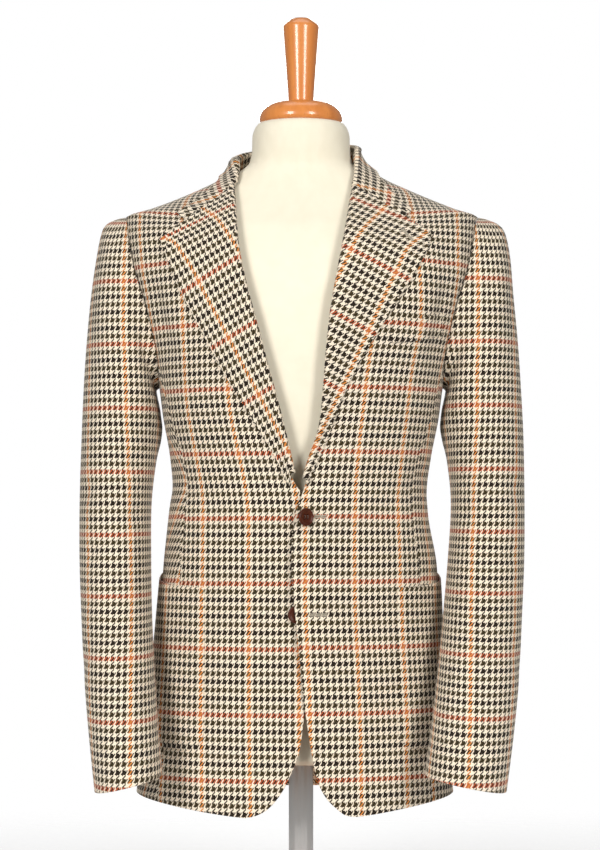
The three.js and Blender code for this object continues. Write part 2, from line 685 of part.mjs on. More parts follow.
// Patch pocket of the hip, moved out from the panels that it lies on.
function hipPocket(side) {
  const { width, bottomZ, corner, belly, bellyAcross, bellyLow, bellySpan } = HIP_POCKET;
  const across = 9;
  const down = 8;
  const place = (u, v, height) => {
    const inset = Math.min(u, 1 - u) * width;
    const rounding = inset < corner ? corner - Math.sqrt(corner ** 2 - (corner - inset) ** 2) : 0;
    const z = lerp(bottomZ + rounding, HIP_POCKET.topZ + HIP_POCKET.mouthRise * u * u, v);
    const frontAngle = angleAtX(side * HIP_POCKET.frontX, z, -1);
    const backEdge = side > 0 ? HIP_POCKET.backAngle : -Math.PI - HIP_POCKET.backAngle;
    const angle = lerp(frontAngle, backEdge, u);
    const swell = Math.sin(Math.PI * Math.min(1, u * bellyAcross))
      * Math.sin(Math.PI * (bellyLow + bellySpan * v));
    const lift = side > 0 ? overlapLift(bodyPoint(angle, z)) : 0;
    return bodyLayer(angle, z, height + lift + belly * Math.max(0, swell));
  };
  const grid = (height) => Array.from(
    { length: down + 1 },
    (_, i) => Array.from({ length: across + 1 }, (_u, j) => place(j / across, i / down, height)),
  );
  return wall(grid(LAY_GAP + POCKET_CLOTH), grid(LAY_GAP));
}

// Breast pocket's welt, a curved strip that lies on the left front.
function breastWelt() {
  const topZ = track(WELT, 'x', 'top');
  const [first, last] = [WELT[0].x, WELT[WELT.length - 1].x];
  const across = 6;
  const grid = (height) => [0, 0.5, 1].map((v) => Array.from({ length: across + 1 }, (_, j) => {
    const x = lerp(first, last, j / across);
    const z = topZ(x) - WELT_HEIGHT * (1 - v);
    return bodyLayer(angleAtX(x, z, -1), z, height);
  }));
  return wall(grid(LAY_GAP + POCKET_CLOTH), grid(LAY_GAP));
}

// Solids for joining and cutting.
function solid(geometry) {
  const position = geometry.getAttribute('position');
  const keys = new Map();
  const vertices = [];
  const remap = Array.from({ length: position.count }, (_, i) => {
    const p = [position.getX(i), position.getY(i), position.getZ(i)];
    const key = p.map((v) => Math.round(v * 1e4)).join();
    if (!keys.has(key)) {
      keys.set(key, keys.size);
      vertices.push(...p);
    }
    return keys.get(key);
  });
  const index = geometry.index ? Array.from(geometry.index.array) : remap.map((_, i) => i);
  const triangles = index.map((i) => remap[i]);
  const kept = triangles.filter((_, i) => {
    const [a, b, c] = [0, 1, 2].map((k) => triangles[i - (i % 3) + k]);
    return a !== b && b !== c && c !== a;
  });
  const mesh = new wasm.Mesh({
    numProp: 3,
    vertProperties: Float32Array.from(vertices),
    triVerts: Uint32Array.from(kept),
  });
  return new wasm.Manifold(mesh);
}

function shape(manifold) {
  const mesh = manifold.getMesh();
  const geometry = new THREE.BufferGeometry();
  geometry.setAttribute('position', new THREE.BufferAttribute(Float32Array.from(mesh.vertProperties), 3));
  geometry.setIndex(Array.from(mesh.triVerts));
  return geometry;
}

// Turned about +Z, from a profile of radius and height that starts and ends on the axis.
function turned(profile, segments) {
  const geometry = new THREE.LatheGeometry(profile.map(([r, h]) => new THREE.Vector2(r, h)), segments);
  geometry.rotateX(Math.PI / 2);
  return shape(solid(geometry));
}

// A four-hole button with its thread shank, face towards -Y and then turned about the vertical.
function button({ x, z, turn, stand }, ground) {
  let body = solid(turned(BUTTON_PROFILE, 18));
  for (let i = 0; i < 4; i += 1) {
    const bore = new THREE.CylinderGeometry(BUTTON_HOLE.radius, BUTTON_HOLE.radius, BUTTON_HOLE.length, 6);
    bore.rotateX(Math.PI / 2);
    const around = Math.PI / 4 + (i * Math.PI) / 2;
    bore.translate(BUTTON_HOLE.spread * Math.cos(around), BUTTON_HOLE.spread * Math.sin(around), 0);
    body = body.subtract(solid(bore));
  }
  const geometry = shape(body);
  geometry.rotateX(Math.PI / 2);
  geometry.rotateZ(THREE.MathUtils.degToRad(turn));
  geometry.translate(x, ground.y - stand, z);
  const thread = new THREE.CylinderGeometry(SHANK.radius, SHANK.radius, stand + SHANK.into - SHANK.foot, 8);
  thread.translate(x, ground.y - (stand + SHANK.into + SHANK.foot) / 2, z);
  return shape(solid(geometry).add(solid(thread)));
}

// Dress form torso: closed sections from its flat bottom up to the neck's rim.
function formTorso() {
  const section = sectionOf(FORM);
  const around = 24;
  const position = [];
  const index = [];
  FORM.forEach(({ z }) => {
    const s = section(z);
    for (let j = 0; j < around; j += 1) {
      const angle = (j / around) * 2 * Math.PI;
      const c = Math.cos(angle);
      const d = Math.sin(angle);
      const depth = d < 0 ? s.front : s.back;
      const r = (Math.abs(c / s.half) ** s.square + Math.abs(d / depth) ** s.square) ** (-1 / s.square);
      position.push(s.shift + r * c, s.mid + r * d, z);
    }
  });
  FORM.slice(1).forEach((_, i) => {
    for (let j = 0; j < around; j += 1) {
      const next = (j + 1) % around;
      const [a, b, c, d] = [i * around + j, i * around + next, (i + 1) * around + next, (i + 1) * around + j];
      index.push(a, b, c, a, c, d);
    }
  });
  const last = FORM.length - 1;
  [[0, FORM[0]], [last, FORM[last]]].forEach(([ring, row]) => {
    const centre = position.length / 3;
    position.push(0, row.mid, row.z);
    for (let j = 0; j < around; j += 1) {
      const pair = [ring * around + j, ring * around + ((j + 1) % around)];
      index.push(centre, ...(ring === 0 ? pair.reverse() : pair));
    }
  });
  return closed(position, index);
}

// Finishes.
const finish = (color, roughness, metalness) => {
  const look = { color, roughness, metalness };
  return new THREE.MeshStandardMaterial(look);
};
const cloth = () => finish(0xa89f85, 0.92, 0);
const horn = () => finish(0x3e1f14, 0.35, 0);
const jersey = () => finish(0xf3ecd6, 0.85, 0);
const beech = () => finish(0xd07a3c, 0.3, 0);
const steel = () => finish(0xc9c8c5, 0.3, 1);

const part = new THREE.Group();

function add(name, geometry, material, z = 0, y = 0) {
  geometry.computeVertexNormals();
  const mesh = new THREE.Mesh(geometry, material);
  mesh.name = name;
  mesh.position.set(0, y, z);
  part.add(mesh);
}

[['left', 1], ['right', -1]].forEach(([word, side]) => {
  add(`front_${word}`, front(side), cloth());
  add(`side_${word}`, sideBody(side), cloth());
  add(`back_${word}`, back(side), cloth());
  add(`top_sleeve_${word}`, sleeve(side, -BACK_SLEEVE_STEP, FRONT_SLEEVE_STEP), cloth());
  add(`under_sleeve_${word}`, sleeve(side, FRONT_SLEEVE_STEP, ARMHOLE_STEPS - BACK_SLEEVE_STEP), cloth());
  add(`hip_pocket_${word}`, hipPocket(side), cloth());
});
add('lapel_left', foldedWall(lapelPaths(LEFT_LAPEL, 1), 2, LAY_GAP), cloth());
add('lapel_right', foldedWall(lapelPaths(RIGHT_LAPEL, -1), 2, LAY_GAP), cloth());
add('collar', collar(), cloth());
add('breast_pocket', breastWelt(), cloth());

const overGround = facePoint(UPPER_BUTTON.x, UPPER_BUTTON.z, -1);
overGround.y -= leftLift(UPPER_BUTTON.z);
add('button_upper', button(UPPER_BUTTON, overGround), horn());
add('button_lower', button(LOWER_BUTTON, facePoint(LOWER_BUTTON.x, LOWER_BUTTON.z, -1)), horn());

const formTop = FORM[FORM.length - 1].z;
const capTop = formTop + REST_GAP + CAP_PROFILE[CAP_PROFILE.length - 1][1];
const baseTop = BASE_PROFILE[BASE_PROFILE.length - 1][1];
const stemHeight = FORM[0].z - baseTop - 2 * REST_GAP;
const stemProfile = [[0, 0], [STEM_RADIUS, 0], [STEM_RADIUS, stemHeight], [0, stemHeight]];
add('form_torso', formTorso(), jersey());
add('form_cap', turned(CAP_PROFILE, 24), beech(), formTop + REST_GAP, NECK_MID_Y);
add('form_handle', turned(HANDLE_PROFILE, 20), beech(), capTop + REST_GAP, NECK_MID_Y);
add('form_stem', turned(stemProfile, 24), steel(), baseTop + REST_GAP);
add('form_base', turned(BASE_PROFILE, 32), beech());

export default part;
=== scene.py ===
import math
from types import SimpleNamespace

import bpy
import numpy as np
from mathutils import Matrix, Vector


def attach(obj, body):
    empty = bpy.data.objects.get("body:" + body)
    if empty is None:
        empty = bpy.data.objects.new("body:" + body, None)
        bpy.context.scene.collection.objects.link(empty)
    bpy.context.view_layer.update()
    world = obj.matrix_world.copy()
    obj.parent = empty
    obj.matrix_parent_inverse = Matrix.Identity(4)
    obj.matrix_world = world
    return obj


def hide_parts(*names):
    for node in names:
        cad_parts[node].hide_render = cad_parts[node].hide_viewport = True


# Unstructured blazer on a limbless dress form. Tables and sizes are in millimetres, in the frame of the
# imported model, and each mesh is written in metres. Left and right are the wearer's: left is on +X.
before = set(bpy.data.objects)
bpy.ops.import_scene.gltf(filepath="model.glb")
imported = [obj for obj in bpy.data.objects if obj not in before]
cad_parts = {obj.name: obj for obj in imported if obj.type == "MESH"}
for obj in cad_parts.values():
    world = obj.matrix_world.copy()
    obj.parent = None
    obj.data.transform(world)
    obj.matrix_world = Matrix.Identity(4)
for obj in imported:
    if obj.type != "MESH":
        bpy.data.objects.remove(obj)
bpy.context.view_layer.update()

MM = 0.001
TAU = 2 * math.pi
RANDOM = np.random.default_rng(7)

# Photograph: 1.15 mm a pixel at the shoulder seams, the horizon at row 530 of a 600 by 850 picture.
CAMERA_AT = (-0.00115, -2.8, 0.438)
CAMERA_AIM = (-0.00115, 0.0, 0.5575)
CAMERA_SENSOR = 36.0
FRAME_HEIGHT = 0.9795
SOFT_LIGHT = 0.25

# Cloth: thickness, gaps, heights, and the armhole's 24 steps from the shoulder point over the front.
BODY_CLOTH = 2.0
SLEEVE_CLOTH = 1.7
SEAM_GAP = 0.12
LAPEL_SEAM_SETBACK = 0.8
LAY_GAP = 0.9
COLLAR_LAY_GAP = 2.0
HEM_Z = 119
HEM_RISE = {"front": 20, "back": 14, "back_side": 6, "fade_z": 250}
WAIST_Z = 487
SHOULDER_Z = 797
NECKLINE_Z = 857
NECK_EDGE = {"left": 70, "right": -78}
OVERLAP_FADE = {"from": 10, "to": 85}
ARMHOLE_BOTTOM_Z = 600
ARMHOLE_FRONT = 58
ARMHOLE_BACK = 66
ARMHOLE_SQUARE = 2.3
ARMHOLE_STEPS = 24
FRONT_SEAM_STEP = 9
BACK_SEAM_STEP = 15
SIDE_DROP_Z = 520
FRONT_SLEEVE_STEP = 9
BACK_SLEEVE_STEP = 7
SLEEVE_SEAM_INSET = 0.02
SLEEVE_LOOP_INSET = 0.4
SLEEVE_CROWN = 1.4
SLEEVE_HEAD = {"from": 1, "to": 4}
SLEEVE_PROBE = {"ring": 0.2, "step": 0.4}
REST_GAP = 0.3
ROLL_RADIUS = 3.6
ROLL_SETBACK = 5.0
GORGE_SHARE = 0.66
GORGE_RISE = 1.4
GORGE_STEP = 5
GORGE_SLANT = 0.1
COLLAR_CORNER = {"x": 8, "z": 8.5}
LEAF_CURL = 1.6
PROBE = 0.5

# Distances from a cut edge, and the share of the cloth's thickness there, for a soft rounded edge.
EDGE_STEPS = [0, 0.12, 0.4, 0.9]
EDGE_SHARES = [0, 0.5, 0.84, 1]

# Rows of the mesh above the hem, and how far apart the rows are after them.
HEM_STEPS = [0, 0.12, 0.4, 0.9, 1.7, 2.8, 4.2, 6, 8, 10.5, 13.5, 17, 21]
ROW_STEP = 3.5

# Mesh of each piece: how many points lie across, down or up it, and the length that they share.
PANEL_ACROSS = {"count": 60, "length": 170}
SIDE_ACROSS = {"count": 44, "length": 130}
SLEEVE_ACROSS = {"count": 56, "length": 200}
SLEEVE_DOWN = {"count": 170, "length": 640}
POCKET_UP = {"count": 56, "length": 190}
WELT_ACROSS = {"count": 30, "length": 60}
WELT_UP = {"count": 14, "length": 25}
POCKET_COLUMNS = 54
LEAF_LENGTH = 70
LAPEL_LENGTH = 330
COLLAR_LENGTH = 420


def rows(header, table):
    """A dictionary of columns, from plain rows."""
    return dict(zip(header.split(), np.array(table, float).T))


# Body sections, hem to neck: half width, sideways shift, depth in front and behind of mid, squareness.
BODY = rows("z half shift front back mid square", [
    [100, 184, -7, 119, 113, 0, 2.3],
    [139, 181, -7, 118, 113, 0, 2.3],
    [200, 173, -5, 118, 114, 0, 2.3],
    [300, 162, -3, 115, 112, 0, 2.3],
    [394, 157, -1, 110, 108, 0, 2.3],
    [454, 149, -3, 106, 102, 0, 2.3],
    [487, 146.5, -1.5, 106, 99, 0, 2.3],
    [520, 150, -0.5, 109, 100, 0, 2.3],
    [566, 158.5, 0, 116, 105, 0, 2.35],
    [600, 163, 0, 121, 110, 0, 2.4],
    [636, 170, 0, 124, 116, 0, 2.5],
    [662, 177, 0, 125, 120, 0, 2.6],
    [700, 187, 0, 122, 122, 0, 2.8],
    [737, 197, 0, 115, 120, 2, 3.0],
    [770, 202, 0, 101, 112, 5, 3.0],
    [797, 203.5, 1, 80, 97, 8, 2.6],
    [806, 179, 2, 73, 90, 9, 2.4],
    [817.5, 150, 3, 66, 83, 10, 2.3],
    [829, 124, 3, 59, 76, 11, 2.2],
    [840.5, 100, 2, 52, 70, 12, 2.2],
    [850, 86, 0, 47, 65, 13, 2.2],
    [857, 79, -2, 44, 63, 14, 2.2],
    [865, 73, -4, 42, 62, 14, 2.1],
    [876, 68, -5, 40, 61, 14, 2.1],
    [900, 66, -5, 40, 61, 14, 2.1],
])

# Front edge of the left front, which lies on top, from the hem up to the start of the roll line.
LEFT_FRONT_EDGE = rows("z x", [
    [119, 62],
    [121.5, 50],
    [129, 40],
    [143, 27],
    [160, 18.5],
    [207, 8.8],
    [268, 1],
    [325, -4.4],
    [360, -8],
    [408, -10.5],
    [450, -7],
    [476, 1],
])

# How far the left front's edge stands off the body's surface, over the right front.
LEFT_LIFT = rows("z lift", [
    [143, 2.5],
    [160, 3],
    [207, 4],
    [268, 5.5],
    [325, 9.5],
    [360, 10],
    [408, 8],
    [450, 6.5],
    [476, 6],
    [500, 4],
    [550, 0],
])

# Front edge of the right front, which runs on under the left one.
RIGHT_FRONT_EDGE = rows("z x", [
    [119, -62],
    [121.5, -52],
    [129, -38],
    [143, -25],
    [160, -15],
    [197, -1],
    [227, 3],
    [268, 9],
    [325, 13],
    [450, 13],
    [468, 10],
    [484, -4],
])

# Lapels: a row joins a point of the roll line to a point of the outer edge, button to gorge.
LEFT_LAPEL = rows("roll_x roll_z edge_x edge_z", [
    [2, 494, 6, 484],
    [9, 518, 17, 511],
    [20, 551, 32, 546],
    [24.5, 590, 48, 590],
    [28, 635, 71, 633],
    [33, 680, 97, 676],
    [41, 725, 122, 716],
    [49, 768, 139, 746],
    [58, 824, 146, 768],
])
RIGHT_LAPEL = rows("roll_x roll_z edge_x edge_z", [
    [-7, 500, -13, 485],
    [-13, 527, -29, 518],
    [-24, 572, -55, 562],
    [-36, 616, -83, 607],
    [-48, 662, -108, 654],
    [-60, 706, -131, 698],
    [-69, 748, -147, 734],
    [-73, 786, -153, 749],
    [-75.5, 822, -157.5, 762],
])

# Collar, above the gorge to centre back: neck seam, crest and outer edge, before sway and lean.
COLLAR = rows("seam_x seam_z crest_x crest_z edge_x edge_z face sway lean", [
    [70, 838, 66, 839, 113, 810, -1, -6, 0.03],
    [70, 849, 66, 851, 96, 831, -1, -5, 0.05],
    [71, 859.5, 66, 867, 87, 847, -1, -5, 0.07],
    [76, 859.5, 68, 876, 88, 848, 1, -5, 0.08],
    [62, 859.5, 58, 884, 72, 848, 1, -5, 0.08],
    [34, 859.5, 32, 889, 38, 846, 1, -5, 0.07],
    [0, 859.5, 0, 890, 0, 845, 1, -5, 0],
])

# Sleeve rings after the armhole: outer and inner points, depth, and how far the front hangs lower.
SLEEVE = rows("outer_right outer_left outer_z inner_right inner_left inner_z mid_y depth drop square", [
    [212.5, 214, 794, 167, 167, 597, 4, 65, 0, 2.2],
    [224.5, 228, 788, 166.5, 166.5, 592, 4, 68, 0, 2.2],
    [230.5, 236, 777, 165, 165, 585, 4, 69.5, 0, 2.2],
    [236, 241.5, 750, 163, 163, 577, 3, 69.5, 0, 2.2],
    [242, 245, 706, 161.5, 161.5, 567, 2, 68.5, 0, 2.2],
    [246.5, 249.5, 656, 160, 160.5, 554, 1, 67, 0, 2.2],
    [249.5, 252.5, 606, 161.5, 163, 538, -2, 65.5, 0, 2.2],
    [251.5, 255, 545, 166.5, 168, 514, -7, 63.5, 0, 2.2],
    [252.5, 255, 474, 171, 171.5, 467, -18, 61.5, 0, 2.2],
    [250.5, 252.5, 404, 170, 166.5, 404, -40, 58.5, 0, 2.2],
    [245.5, 247, 336, 167, 159, 339, -68, 56, 0, 2.2],
    [239.5, 241, 270, 162, 151, 278, -96, 54, 0.5, 2.2],
    [232.5, 233, 211, 157, 143.5, 225, -118, 52, 1, 2.2],
    [225, 224, 152, 151, 135, 170, -132, 51, 1, 2.2],
])

# Line of the weave that runs down the front of a sleeve: how far out it lies at rings.
SLEEVE_LINE = rows("ring right left", [
    [0, 200, 200],
    [4, 200, 200],
    [7, 195.5, 197.5],
    [10.6, 185.5, 187.5],
    [14, 182.5, 179.5],
])

# Section of the upper sleeve, for the width of its cloth at a height: middle and half sizes.
UPPER_ARM = {"x": 200, "y": 3, "half_x": 41, "half_y": 68}
UPPER_ARM_FADE = {"from": 5.5, "to": 9}

# Largest folds of the body, the same as in the solids, on both sides.
BODY_FOLDS = rows("x1 z1 x2 z2 face width depth", [
    [164, 752, 150, 640, -1, 13, 2.6],
    [172, 760, 157, 630, 1, 17, 2.4],
    [92, 462, 140, 498, -1, 16, 1.6],
    [86, 430, 136, 470, 1, 18, 2.4],
    [118, 300, 132, 150, 1, 24, 3.0],
])

# Finer creases of the body: x already has its side, and a negative depth is a ridge.
BODY_CREASES = rows("x1 z1 x2 z2 face width depth", [
    [26, 462, 96, 512, -1, 9, 1.1],
    [24, 448, 104, 470, -1, 8, -0.7],
    [34, 436, 120, 438, -1, 11, 0.9],
    [-24, 470, -96, 524, -1, 9, 1.0],
    [-30, 452, -118, 478, -1, 8, -0.7],
    [-26, 436, -104, 430, -1, 12, 0.8],
    [128, 520, 150, 470, -1, 8, 1.2],
    [-130, 530, -150, 476, -1, 9, 1.1],
    [168, 716, 146, 652, -1, 7, 1.3],
    [-170, 722, -148, 646, -1, 8, 1.3],
    [150, 700, 128, 640, -1, 9, -0.7],
    [-152, 696, -130, 636, -1, 9, -0.7],
    [60, 330, 52, 190, -1, 16, -0.9],
    [-84, 320, -92, 170, -1, 18, -0.9],
    [36, 300, 30, 160, -1, 12, 0.6],
    [-40, 340, -52, 190, -1, 14, 0.7],
    [168, 712, 150, 640, 1, 9, 1.2],
    [-166, 706, -146, 636, 1, 10, 1.1],
    [110, 770, 60, 700, 1, 16, -1.0],
    [-104, 764, -52, 690, 1, 15, -0.9],
    [30, 512, 108, 470, 1, 12, 1.2],
    [-24, 500, -100, 462, 1, 13, 1.1],
    [44, 470, 120, 430, 1, 10, -0.8],
    [-50, 460, -118, 424, 1, 11, -0.8],
    [70, 400, 84, 180, 1, 22, 1.4],
    [-78, 390, -90, 170, 1, 20, 1.3],
    [24, 360, 20, 150, 1, 18, -0.9],
])

# Largest folds of a sleeve, the same as in the solids: ring numbers and angles from outside to front.
SLEEVE_FOLDS = rows("ring1 angle1 ring2 angle2 width depth", [
    [1.6, 40, 3.6, 75, 13, 2.2],
    [1.8, -45, 4.2, -80, 15, 2.8],
    [8.2, 120, 8.9, 45, 12, 2.6],
    [9.2, 130, 9.9, 60, 11, 2.0],
    [8.6, -40, 8.1, -120, 13, 1.8],
    [11.1, 95, 11.7, 20, 12, 1.6],
])

# Finer creases of a sleeve: side 0 stands for both, and a negative depth is a ridge.
SLEEVE_CREASES = rows("side ring1 angle1 ring2 angle2 width depth", [
    [0, 0.2, 18, 2.3, 34, 7, 0.9],
    [0, 0.3, -14, 2.2, -22, 7, 0.8],
    [0, 0.3, 52, 2.0, 66, 8, 0.9],
    [0, 2.4, 70, 5.6, 96, 9, 1.2],
    [0, 3.2, 40, 6.2, 66, 12, -0.9],
    [1, 5.0, 118, 6.4, 48, 9, 1.0],
    [-1, 5.4, 112, 6.6, 40, 9, 1.1],
    [0, 7.3, 128, 7.7, 52, 8, 1.4],
    [1, 7.8, 116, 8.3, 30, 7, -0.9],
    [-1, 7.9, 126, 8.5, 44, 7, -1.0],
    [0, 8.7, 138, 9.3, 74, 7, 1.2],
    [1, 9.9, 122, 10.5, 50, 8, 1.2],
    [-1, 10.1, 118, 10.8, 42, 8, 1.3],
    [0, 10.6, 100, 11.2, 24, 9, -0.8],
    [1, 12.0, 112, 12.4, 40, 9, 0.9],
    [-1, 12.2, 104, 12.7, 34, 9, 1.0],
    [0, 2.8, -60, 5.8, -96, 10, 1.3],
    [0, 4.4, -30, 7.0, -66, 12, -0.9],
    [0, 7.2, -40, 7.7, -128, 9, 1.3],
    [0, 9.2, -52, 9.0, -130, 9, 1.2],
    [0, 10.4, -60, 10.0, -126, 10, 0.9],
])

# Side seams of the fronts and backs, from the hem to the waist.
SIDE_SEAMS = rows("z front back", [
    [119, -72, 62],
    [300, -68, 60],
    [487, -60, 52],
])

# Patch pockets of the hip: the belly is a swell between two shares of the height.
HIP_POCKET = {
    "front_x": 107,
    "back_angle": 0.36,
    "width": 170,
    "top_z": 373,
    "bottom_z": 188,
    "mouth_rise": 24,
    "corner": 26,
    "belly": 3,
    "belly_across": 1.15,
    "belly_low": 0.25,
    "belly_span": 0.62,
    "sewn_border": 7,
    "sewn_gap": 0.35,
    "height": 185,
}
POCKET_CLOTH = 1.8
WELT = rows("x top", [[99, 669], [118, 671], [139, 674.5], [159, 681]])
WELT_HEIGHT = 25

# Buttons.
BUTTON_PROFILE = [
    [0, 0], [5, 0], [8.4, 0], [9.3, 0.35], [9.85, 1.0], [10, 1.7], [9.9, 2.5], [9.5, 3.2], [8.8, 3.58],
    [8.1, 3.5], [7.5, 3.1], [7.0, 2.75], [6.2, 2.64], [0, 2.6],
]
BUTTON_FACE = {"radius": 6.2, "centre": 0.15, "depth": 2.6, "rings": 34}
BUTTON_HOLE = {"radius": 1.05, "spread": 2.6, "depth": 2.2, "inner_round": 0.15, "outer_round": 0.3}
BUTTON_AROUND = 96
UPPER_BUTTON = {"x": 4.4, "z": 451, "turn": 38, "stand": 7.2}
LOWER_BUTTON = {"x": -4.6, "z": 343.5, "turn": 0, "stand": 2.4}

# Dress form.
FORM = rows("z half shift front back mid square", [
    [176, 136, 0, 92, 90, 0, 2.3],
    [182, 141, 0, 96, 94, 0, 2.3],
    [260, 146, 0, 97, 98, 0, 2.3],
    [330, 141, 0, 93, 94, 0, 2.3],
    [400, 134, 0, 88, 87, 0, 2.3],
    [480, 127, 0, 87, 82, 0, 2.3],
    [540, 136, 0, 96, 88, 0, 2.3],
    [600, 148, 0, 105, 96, 0, 2.4],
    [660, 158, 0, 110, 106, 0, 2.5],
    [710, 172, 0, 107, 110, 0, 2.6],
    [750, 184, 0, 98, 107, 3, 2.7],
    [780, 191, 0, 84, 98, 6, 2.7],
    [795.2, 192, 1, 74, 90, 8, 2.5],
    [804.6, 175, 1.8, 68, 85, 9, 2.3],
    [816.1, 146, 2.8, 61, 78, 10, 2.2],
    [827.5, 118, 3, 55, 72, 11, 2.2],
    [838.6, 95, 2.2, 51, 65, 12, 2.1],
    [847.1, 80, 0.6, 49, 61, 13, 2.1],
    [854, 69, 0, 48, 58, 13, 2.05],
    [862, 60, 0, 49, 56, 12, 2],
    [875, 57, 0, 51, 55, 10, 2],
    [892, 56.5, 0, 52, 54, 8, 2],
    [902, 53.5, 0, 50, 51, 7, 2],
    [907, 49.5, 0, 46.5, 47, 6.5, 2],
])
FORM_HEIGHTS = np.concatenate([np.linspace(176, 182, 5), np.arange(186, 846, 4), np.linspace(848, 907, 30)])
FORM_AROUND = 160
FORM_MAP_RADIUS = 110
NECK_MID_Y = 6.5
CAP_Z = 907.3
CAP_PROFILE = [
    [0, 0], [44, 0], [46.6, 0.5], [48.1, 2.2], [48.5, 5], [48.2, 8.5], [46.6, 13], [44, 16.6],
    [40, 20], [36, 22.2], [32, 23.2], [28, 23.4], [0, 23.4],
]
HANDLE_Z = 931
HANDLE_PROFILE = [
    [0, 0], [15.2, 0], [15.4, 0.4], [14.7, 2], [14.6, 4], [14.8, 7], [17.8, 48], [20.7, 86], [21, 89],
    [20.9, 90.5], [20.3, 91.8], [12.4, 98.4], [11, 99.2], [9, 99.4], [0, 99.4],
]
BASE_PROFILE = [
    [0, 0], [142, 0], [144.2, 1], [145, 3], [145, 12], [144, 15], [141, 17], [90, 20], [30, 23], [0, 23],
]

# Weave: width of a warp and a weft thread, threads in a check, checks in a window.
WARP_THREAD = 0.8625
WEFT_THREAD = 1.131
CHECK_THREADS = 8
WINDOW_CHECKS = 8

# Where the window's lines lie: reference line of a front against height, and heights of a rust line.
LEFT_GRAIN = rows("z x", [
    [119, 12],
    [231, 10],
    [376, 4.6],
    [455, 5],
    [602, 18],
    [678, 27],
    [780, 17],
    [860, 14],
])
RIGHT_GRAIN = rows("z x", [
    [119, 0],
    [224, -2],
    [449, -3.5],
    [601, -27],
    [679, -25],
    [860, -24],
])
RUST_LINE = {"left": 379.4, "right": 377.2, "sleeve_left": 433, "sleeve_right": 429.5}

# Lapels are cut from their own cloth: the turn of its threads, and a place where two window lines cross.
LAPEL_GRAIN = {
    "left": {"turn": -25, "x": 107.4, "z": 721.5},
    "right": {"turn": 28, "x": -115.5, "z": 711.9},
}
COLLAR_RUST_INSET = 12

# Sewing: how far in a line of stitches is, counted in columns of the mesh, and its spacing and length.
FRONT_STITCH_COLUMN = -9
LEAF_STITCH_COLUMN = -7
LEAF_STITCH_ENDS = slice(6, -6)
FRONT_STITCH_TOP = {"left": 470, "right": 330}
EDGE_STITCH = {"spacing": 7, "length": 1.3}
POCKET_STITCH = {"spacing": 3.4, "length": 2.4}
POCKET_STITCH_COLUMNS = (5, 8)
EDGE_THREAD = 0.17
BUTTON_THREAD = 0.32
HOLE_THREAD = 0.42
HOLE_WORK = {"spacing": 0.7, "slit": 0.12, "half_width": 1.75}

# Buttonholes: the piece that each is worked in, and its two ends in the front view.
BUTTONHOLES = [
    {"piece": "front_left", "x": (14.5, 27.8), "z": (452, 452)},
    {"piece": "front_left", "x": (9, 29), "z": (342.2, 341.7)},
    {"piece": "lapel_left", "x": (113, 124), "z": (772, 762)},
]

# Soft boxes, in metres and watts: name, place, aim, size, power.
LIGHTS = [
    ("left_box", (-1.35, -2.4, 1.2), (0, 0, 0.6), (0.7, 1.4), 54),
    ("right_box", (1.35, -2.4, 1.15), (0, 0, 0.6), (0.7, 1.4), 44),
    ("top_box", (0, 0.1, 2.6), (0, 0, 0.5), (1.4, 1.0), 6),
    ("back_box", (0, 2.6, 1.4), (0, 0, 0.6), (1.6, 1.4), 58),
]
FLOOR_RADIUS = 1.6
FLOOR_AROUND = 96
FLOOR_SINK = 0.0005


def track(at, value):
    """A smooth value along a column, with no overshoot between the rows."""
    slope = np.diff(value) / np.diff(at)
    product = slope[:-1] * slope[1:]
    total = slope[:-1] + slope[1:]
    inner = np.where(product > 0, 2 * product / np.where(total == 0, 1, total), 0)
    tangent = np.concatenate([slope[:1], inner, slope[-1:]])

    def read(x):
        x = np.clip(x, at[0], at[-1])
        i = np.clip(np.searchsorted(at, x, side="right") - 1, 0, len(at) - 2)
        width = at[i + 1] - at[i]
        t = (x - at[i]) / width
        bend = (1 - t) ** 2
        start = value[i] * (1 + 2 * t) * bend + tangent[i] * width * t * bend
        return start + value[i + 1] * t * t * (3 - 2 * t) + tangent[i + 1] * width * t * t * (t - 1)

    return read


def sections(table):
    """Superellipse sections at any heights, from a table with a row for each of some."""
    tracks = {name: track(table["z"], column) for name, column in table.items() if name != "z"}
    return lambda z: SimpleNamespace(**{name: read(z) for name, read in tracks.items()})


body_at = sections(BODY)


def unit(v):
    return v / np.maximum(np.linalg.norm(v, axis=-1, keepdims=True), 1e-9)


def mix(a, b, t):
    return a + (b - a) * t


def smooth(x, low, high):
    t = np.clip((x - low) / (high - low), 0, 1)
    return t * t * (3 - 2 * t)


def signed_power(x, power):
    return np.sign(x) * np.abs(x) ** power


def fullness(p):
    """How far points are inside (under 1) or outside (over 1) the body's section at their height."""
    s = body_at(p[..., 2])
    depth = np.where(p[..., 1] < s.mid, s.front, s.back)
    across = np.abs((p[..., 0] - s.shift) / s.half) ** s.square
    along = np.abs((p[..., 1] - s.mid) / depth) ** s.square
    return (across + along) ** (1 / s.square)


def outward(p):
    """The way out of the body's surface at points."""
    slopes = [fullness(p + PROBE * axis) - fullness(p - PROBE * axis) for axis in np.eye(3)]
    return unit(np.stack(slopes, axis=-1))


def section_point(s, angle, z):
    c, d = np.cos(angle), np.sin(angle)
    depth = np.where(d < 0, s.front, s.back)
    radius = (np.abs(c / s.half) ** s.square + np.abs(d / depth) ** s.square) ** (-1 / s.square)
    return np.stack([s.shift + radius * c, s.mid + radius * d, z + 0 * radius], axis=-1)


def body_point(angle, z):
    return section_point(body_at(z), angle, z)


